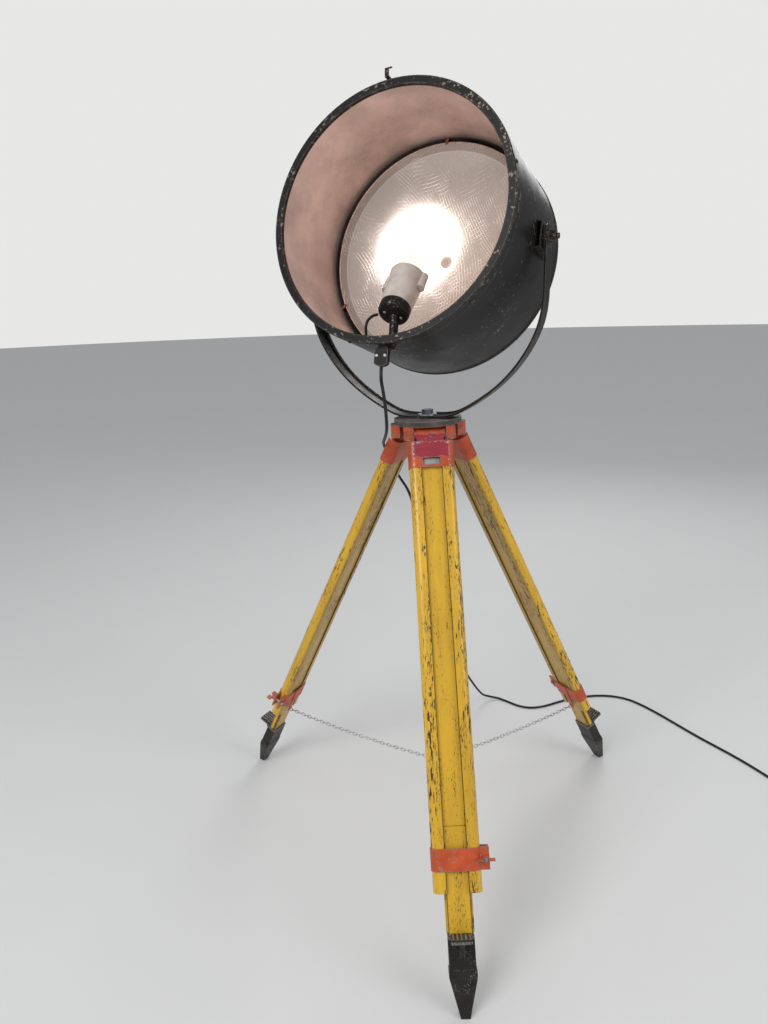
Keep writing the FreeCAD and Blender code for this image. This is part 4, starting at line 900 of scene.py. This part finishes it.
class DrumOperator(bpy.types.Operator):
    """Paint the yoke, the drum inside and out, its brackets and pivots, and make its screws"""
    bl_idname = "spotlight.drum"
    bl_label = "Drum and yoke"

    def execute(self, context):
        paint, sizes = context.scene.spotlight_paint, context.scene.spotlight_sizes
        place = drum_place()
        black = black_enamel("drum_enamel", place, paint)
        worn = black_enamel("ring_enamel", place, paint, rub=0.40)
        liner_lamp_tinted = drum_liner(place, paint)
        paint_node("yoke", black_enamel("yoke_enamel", place, paint, rub=0.35))
        for node in ("back_cover", "pivot_brackets", "cable_clamp"):
            paint_node(node, black)
        for node in ("front_ring", "latch_hook"):
            paint_node(node, worn)
        shell = paint_node("drum_shell", black, liner_lamp_tinted)
        inverse = place.inverted()
        for face in shell.data.polygons:
            middle = inverse @ face.center
            facing = inverse.to_3x3() @ face.normal
            if facing.x * middle.x + facing.y * middle.y < -0.02:
                face.material_index = 1
        for node in ("pivot_studs", "pivot_nuts_and_washers"):
            paint_node(node, worn)
        tree = screw_ring_tree()
        head = slotted_head("screw_template", sizes.screw_head, 0.0026)
        rings = []
        for name, radius, lean, forward in SCREW_RINGS:
            seed = finished(name + "_screws", bpy.data.meshes.new(name + "_screws"), worn)
            made = run_tree(seed, tree, Count=sizes.screws, Radius=radius, Lean=lean, Screw=head,
                            Material=worn)
            made.data.transform(place @ Matrix.Translation((0, 0, forward))
                                @ Matrix.Rotation(math.pi / 2 / sizes.screws, 4, "Z"))
            rings.append(made)
        bpy.data.objects.remove(head)
        for number, across in enumerate((-0.0095, 0.0095)):
            head = slotted_head(f"clamp_screw_{number}", 0.0036, 0.0024)
            head.data.materials[0] = bpy.data.materials["zinc_steel"]
            head.data.transform(place @ Matrix.Translation((0.003 + across, -0.289, 0.158)))
            rings.append(head)
        for made in rings:
            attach(made, "drum")
        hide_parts("casing_screws")
        return {"FINISHED"}


class MirrorOperator(bpy.types.Operator):
    """Polish the mirror and its clips"""
    bl_idname = "spotlight.mirror"
    bl_label = "Mirror"

    def execute(self, context):
        paint = context.scene.spotlight_paint
        paint_node("reflector", mirror_metal(drum_place(), paint))
        paint_node("reflector_clips", plain_metal("clip_copper", (0.42, 0.20, 0.11), 0.35))
        return {"FINISHED"}


class LampholderOperator(bpy.types.Operator):
    """Finish the lampholder with rivets and terminal screws, and light the lamp"""
    bl_idname = "spotlight.lampholder"
    bl_label = "Lampholder and lamp"

    def execute(self, context):
        paint, sizes = context.scene.spotlight_paint, context.scene.spotlight_sizes
        place = holder_place()
        dark = black_enamel("cap_enamel", place, paint, rub=0.36)
        for node in ("lampholder_cap", "lampholder_post"):
            paint_node(node, dark)
        paint_node("lampholder_body", glazed_porcelain(place, paint))
        brass = plain_metal("brass", (0.62, 0.42, 0.16), 0.3)
        paint_node("lampholder_thread", brass)
        paint_node("lamp_base", brass)
        paint_node("lamp_bulb", lit_glass(sizes.lamp_power))
        paint_node("inner_lead", moulded_rubber("lead_rubber", paint))
        dome = [(0.0, 0.0016), (0.0018, 0.0014), (0.0031, 0.0006), (0.0034, -0.0006), (0.0, -0.0006)]
        rivets = []
        for number, angle in enumerate((35, 205)):
            spot = Matrix.Rotation(math.radians(angle), 4, "Z") @ Matrix.Translation((0.018, 0, 0.0))
            rivets.append(finished(f"cap_rivet_{number}", turned_mesh("rivet", dome, 20),
                                   bpy.data.materials["zinc_steel"],
                                   place @ spot @ Matrix.Rotation(math.pi, 4, "X")))
        for number, side in enumerate((-1, 1)):
            head = slotted_head(f"terminal_screw_{number}", 0.0042, 0.0026)
            head.data.materials[0] = brass
            head.data.transform(place @ Matrix.Translation((side * 0.039, 0, 0.112)))
            rivets.append(head)
        for made in rivets:
            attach(made, "drum")
        return {"FINISHED"}


class ChainsOperator(bpy.types.Operator):
    """Make the three spreader chains link by link, and paint the ring that joins them"""
    bl_idname = "spotlight.chains"
    bl_label = "Spreader chains"

    def execute(self, context):
        sizes = context.scene.spotlight_sizes
        steel = plain_metal("chain_steel", (0.72, 0.71, 0.69), 0.26)
        paint_node("chain_ring", steel)
        low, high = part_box("chain_ring")
        centre = (low + high) / 2
        tree = chain_tree()
        for leg in LEGS:
            eye = leg_place(leg) @ Vector(CHAIN_EYE)
            outward = Vector((eye.x - centre.x, eye.y - centre.y, 0)).normalized()
            inner = centre + outward * RING_REACH
            points = [inner.lerp(eye, step / 8) - Vector((0, 0, FOUR_SAGS * step / 8 * (1 - step / 8)))
                      for step in range(9)]
            route = smooth_route(leg + "_chain", points)
            made = run_tree(route, tree, Pitch=sizes.link_pitch, Link_Length=0.0150,
                            Link_Width=0.0076, Wire=sizes.link_wire, Material=steel)
            made.name = leg + "_chain_links"
            bpy.data.objects.remove(route)
            made.data.polygons.foreach_set("use_smooth", [True] * len(made.data.polygons))
            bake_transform(made)
            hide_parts(leg + "_spreader_chain")
        return {"FINISHED"}


CORD_FROM_CLAMP = [
    (-0.10730, -0.06438, 1.25242), (-0.11041, -0.07244, 1.22369), (-0.106, -0.069, 1.196),
    (-0.102, -0.054, 1.160), (-0.101, -0.027, 1.125)]
CORD_TO_COIL = [
    (-0.101, -0.027, 1.125), (-0.1006, -0.0162, 1.111), (-0.103, 0.016, 1.091), (-0.108, 0.071, 1.069),
    (-0.111, 0.129, 1.053),
    (-0.111, 0.186, 1.036), (-0.102, 0.236, 1.003), (-0.089, 0.275, 0.965), (-0.074, 0.309, 0.925),
    (-0.048, 0.343, 0.878), (-0.029, 0.371, 0.800), (-0.011, 0.400, 0.708), (0.008, 0.430, 0.615),
    (0.028, 0.462, 0.523), (0.050, 0.497, 0.433), (0.074, 0.535, 0.346), (0.100, 0.575, 0.264),
    (0.129, 0.617, 0.190), (0.158, 0.660, 0.125), (0.182, 0.703, 0.073), (0.202, 0.741, 0.034),
    (0.227, 0.767, 0.013), (0.259, 0.769, 0.0045), (0.288, 0.746, 0.0036), (0.323, 0.711, 0.0036),
    (0.365, 0.697, 0.0036), (0.413, 0.708, 0.0036), (0.457, 0.730, 0.0036), (0.500, 0.749, 0.0036),
    (0.550, 0.763, 0.0036), (0.605, 0.771, 0.0036), (0.660, 0.765, 0.0036), (0.708, 0.741, 0.0036),
    (0.745, 0.697, 0.0036), (0.780, 0.641, 0.0036), (0.820, 0.566, 0.0036), (0.862, 0.489, 0.0036),
    (0.899, 0.430, 0.0036), (0.933, 0.373, 0.0036), (0.962, 0.316, 0.0036), (0.987, 0.261, 0.0036),
    (1.006, 0.203, 0.0036), (1.017, 0.146, 0.0036)]
COIL_START = Matrix.Translation((1.018326, 0.139127, 0.0036)) @ Matrix(
    ((0.18949, 0.98188, 0, 0), (-0.98188, 0.18949, 0, 0), (0, 0, 1, 0), (0, 0, 0, 1)))
CORD_LIES = 0.0036
CORD_LAYER = 0.0076
PLUG_AXIS = 0.0161
CLIMBING_TURN = 3
COIL_RADII = (0.038, 0.0342, 0.0304, 0.0266, 0.0304, 0.0342, 0.038)


def coil_points():
    """The coil's control points: six to each half turn, then the tail up to the plug."""
    points, spot, heading, height = [], Vector(), Vector((1, 0, 0)), 0.0
    for number, radius in enumerate(COIL_RADII):
        left = Vector((-heading.y, heading.x, 0))
        centre = spot + left * radius
        for step in range(6):
            angle = math.radians(15 + 30 * step)
            rise = CORD_LAYER * (15 + 30 * step) / 180 if number == CLIMBING_TURN else 0.0
            points.append(centre + (heading * math.sin(angle) - left * math.cos(angle))
                          * (radius / math.cos(math.radians(15))) + Vector((0, 0, height + rise)))
        height += CORD_LAYER if number == CLIMBING_TURN else 0.0
        spot, heading = spot + left * (2 * radius), -heading
    spot.z = height
    up = Vector((0, 0, PLUG_AXIS - CORD_LIES - CORD_LAYER))
    points += [spot + heading * 0.012, spot + heading * 0.03, spot + heading * 0.055 + up,
               spot + heading * 0.072 + up, spot + heading * 0.085 + up]
    return [COIL_START @ point for point in points]


class CordOperator(bpy.types.Operator):
    """Lay the mains cord from the clamp over the stand, along the floor and into its coil"""
    bl_idname = "spotlight.cord"
    bl_label = "Mains cord"

    def execute(self, context):
        paint, thick = context.scene.spotlight_paint, context.scene.spotlight_sizes.cord_thick
        rubber = moulded_rubber("cord_rubber", paint)
        plug = paint_node("cord_plug", moulded_rubber("plug_rubber", paint))
        made = {}
        for name, points in (("cord_upper", [Vector(p) for p in CORD_FROM_CLAMP]),
                             ("cord_lower", [Vector(p) for p in CORD_TO_COIL] + coil_points())):
            route = smooth_route(name + "_route", points)
            path = route_points(route)
            bpy.data.objects.remove(route)
            tube = tube_along(name, path, thick / 2, rubber)
            length = sum((b - a).length for a, b in zip(path, path[1:]))
            made[name] = (tube, path, length)
        upper, path, length = made["cord_upper"]
        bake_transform(upper)
        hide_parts("cord_from_drum")
        lower, path, length = made["cord_lower"]
        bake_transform(lower)
        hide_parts("cord_to_floor", "cord_on_floor", "cord_coil")
        return {"FINISHED"}


CAMERA_AT = Vector((-0.0909, -1.6325, 1.3818))
YAW, PITCH, ROLL = (math.radians(v) for v in (0.7733, 15.8491, -1.8314))
FOCAL_SHARE = 757.96 / 1024


class StageOperator(bpy.types.Operator):
    """Set the pale floor, the soft studio light and the camera"""
    bl_idname = "spotlight.stage"
    bl_label = "Stage"

    def execute(self, context):
        scene, stage = context.scene, context.scene.spotlight_stage
        scene.view_settings.view_transform = "Standard"
        grid = bmesh.new()
        bmesh.ops.create_circle(grid, cap_ends=True, segments=96, radius=30)
        material, tree, shader = fresh("pale_floor")
        grain = noise(tree, part_coordinates(tree), 3.0, 4.0)
        feed(tree, shader, Base_Color=blended(tree, between(tree, grain, 0.3, 0.7), four(stage.floor),
                                              scaled(stage.floor, 0.985)), Roughness=0.8)
        finished("floor", meshed("floor", grid), material)
        world = scene.world or bpy.data.worlds.new("World")
        scene.world = world
        world.use_nodes = True
        sky = world.node_tree
        sky.nodes.clear()
        rays = add(sky, "ShaderNodeLightPath")
        seen = rays.outputs["Is Camera Ray"]
        level = sums(sky, "MULTIPLY_ADD", rays.outputs["Is Glossy Ray"], -0.26, 0.52)
        light = add(sky, "ShaderNodeBackground", {"Color": four((0.95, 0.97, 1.0)), "Strength": level})
        shown = add(sky, "ShaderNodeBackground", {
            "Color": four((1, 1, 0.99)), "Strength": stage.backdrop})
        both = add(sky, "ShaderNodeMixShader", {0: seen, 1: light.outputs[0], 2: shown.outputs[0]})
        out = add(sky, "ShaderNodeOutputWorld", {0: both.outputs[0]})
        out.is_active_output = True
        for name, spot, aim, width, power in (
                ("key_light", (-2.2, -2.6, 3.4), (0, 0.1, 0.9), 2.4, stage.key),
                ("fill_light", (2.8, -1.8, 2.2), (0, 0.1, 0.9), 2.2, stage.key * 0.4),
                ("rim_light", (1.2, 3.2, 3.0), (0, 0.1, 1.2), 1.8, stage.key * 0.4)):
            lamp = bpy.data.lights.new(name, "AREA")
            lamp.shape, lamp.size, lamp.energy = "DISK", width, power
            holder = linked(name, lamp)
            holder.location = spot
            holder.rotation_euler = (Vector(aim) - Vector(spot)).to_track_quat("-Z", "Y").to_euler()
        glow = bpy.data.lights.new("lamp_glow", "POINT")
        glow.energy, glow.shadow_soft_size, glow.color = 1.1, 0.03, (1.0, 0.77, 0.62)
        bulb = linked("lamp_glow", glow)
        bulb.location = holder_place() @ Vector((0, 0, 0.188))
        bulb.visible_glossy = False
        camera = bpy.data.cameras.new("camera")
        camera.sensor_fit = "AUTO"
        camera.lens = FOCAL_SHARE * camera.sensor_width
        camera.clip_start = 0.05
        viewer = linked("camera", camera)
        ahead = Vector((-math.sin(YAW) * math.cos(PITCH), math.cos(YAW) * math.cos(PITCH),
                        -math.sin(PITCH)))
        right = Vector((math.cos(YAW), math.sin(YAW), 0))
        up = right.cross(ahead)
        rolled_right = right * math.cos(ROLL) + up * math.sin(ROLL)
        rolled_up = up * math.cos(ROLL) - right * math.sin(ROLL)
        viewer.matrix_world = placed(CAMERA_AT, rolled_right, rolled_up, -ahead)
        scene.camera = viewer
        return {"FINISHED"}


class SpotlightPanel(bpy.types.Panel):
    """The lamp's pieces in the sidebar"""
    bl_idname = "VIEW3D_PT_spotlight"
    bl_label = "Tripod spotlight"
    bl_space_type = "VIEW_3D"
    bl_region_type = "UI"
    bl_category = "Spotlight"

    def draw(self, context):
        for operator in OPERATORS:
            self.layout.operator(operator.bl_idname)


OPERATORS = (StageOperator, CordOperator, LegsOperator, HeadOperator, DrumOperator, MirrorOperator,
             LampholderOperator, ChainsOperator)
CLASSES = (SpotlightPaint, SpotlightSizes, SpotlightStage) + OPERATORS + (SpotlightPanel,)


def register():
    """Register the classes and hang the settings on the scene."""
    for kind in CLASSES:
        bpy.utils.register_class(kind)
    bpy.types.Scene.spotlight_paint = bpy.props.PointerProperty(type=SpotlightPaint)
    bpy.types.Scene.spotlight_sizes = bpy.props.PointerProperty(type=SpotlightSizes)
    bpy.types.Scene.spotlight_stage = bpy.props.PointerProperty(type=SpotlightStage)


def unregister():
    """Undo register."""
    del bpy.types.Scene.spotlight_paint, bpy.types.Scene.spotlight_sizes
    del bpy.types.Scene.spotlight_stage
    for kind in reversed(CLASSES):
        bpy.utils.unregister_class(kind)


def main():
    """Make everything."""
    register()
    GROUPS.update({"Worn edges": worn_edges_group(), "Paint chips": chips_group(),
                   "Grime": grime_group(), "Swirl scratches": swirls_group()})
    for operator in OPERATORS:
        family, action = operator.bl_idname.split(".")
        getattr(getattr(bpy.ops, family), action)()


if __name__ == "__main__":
    main()
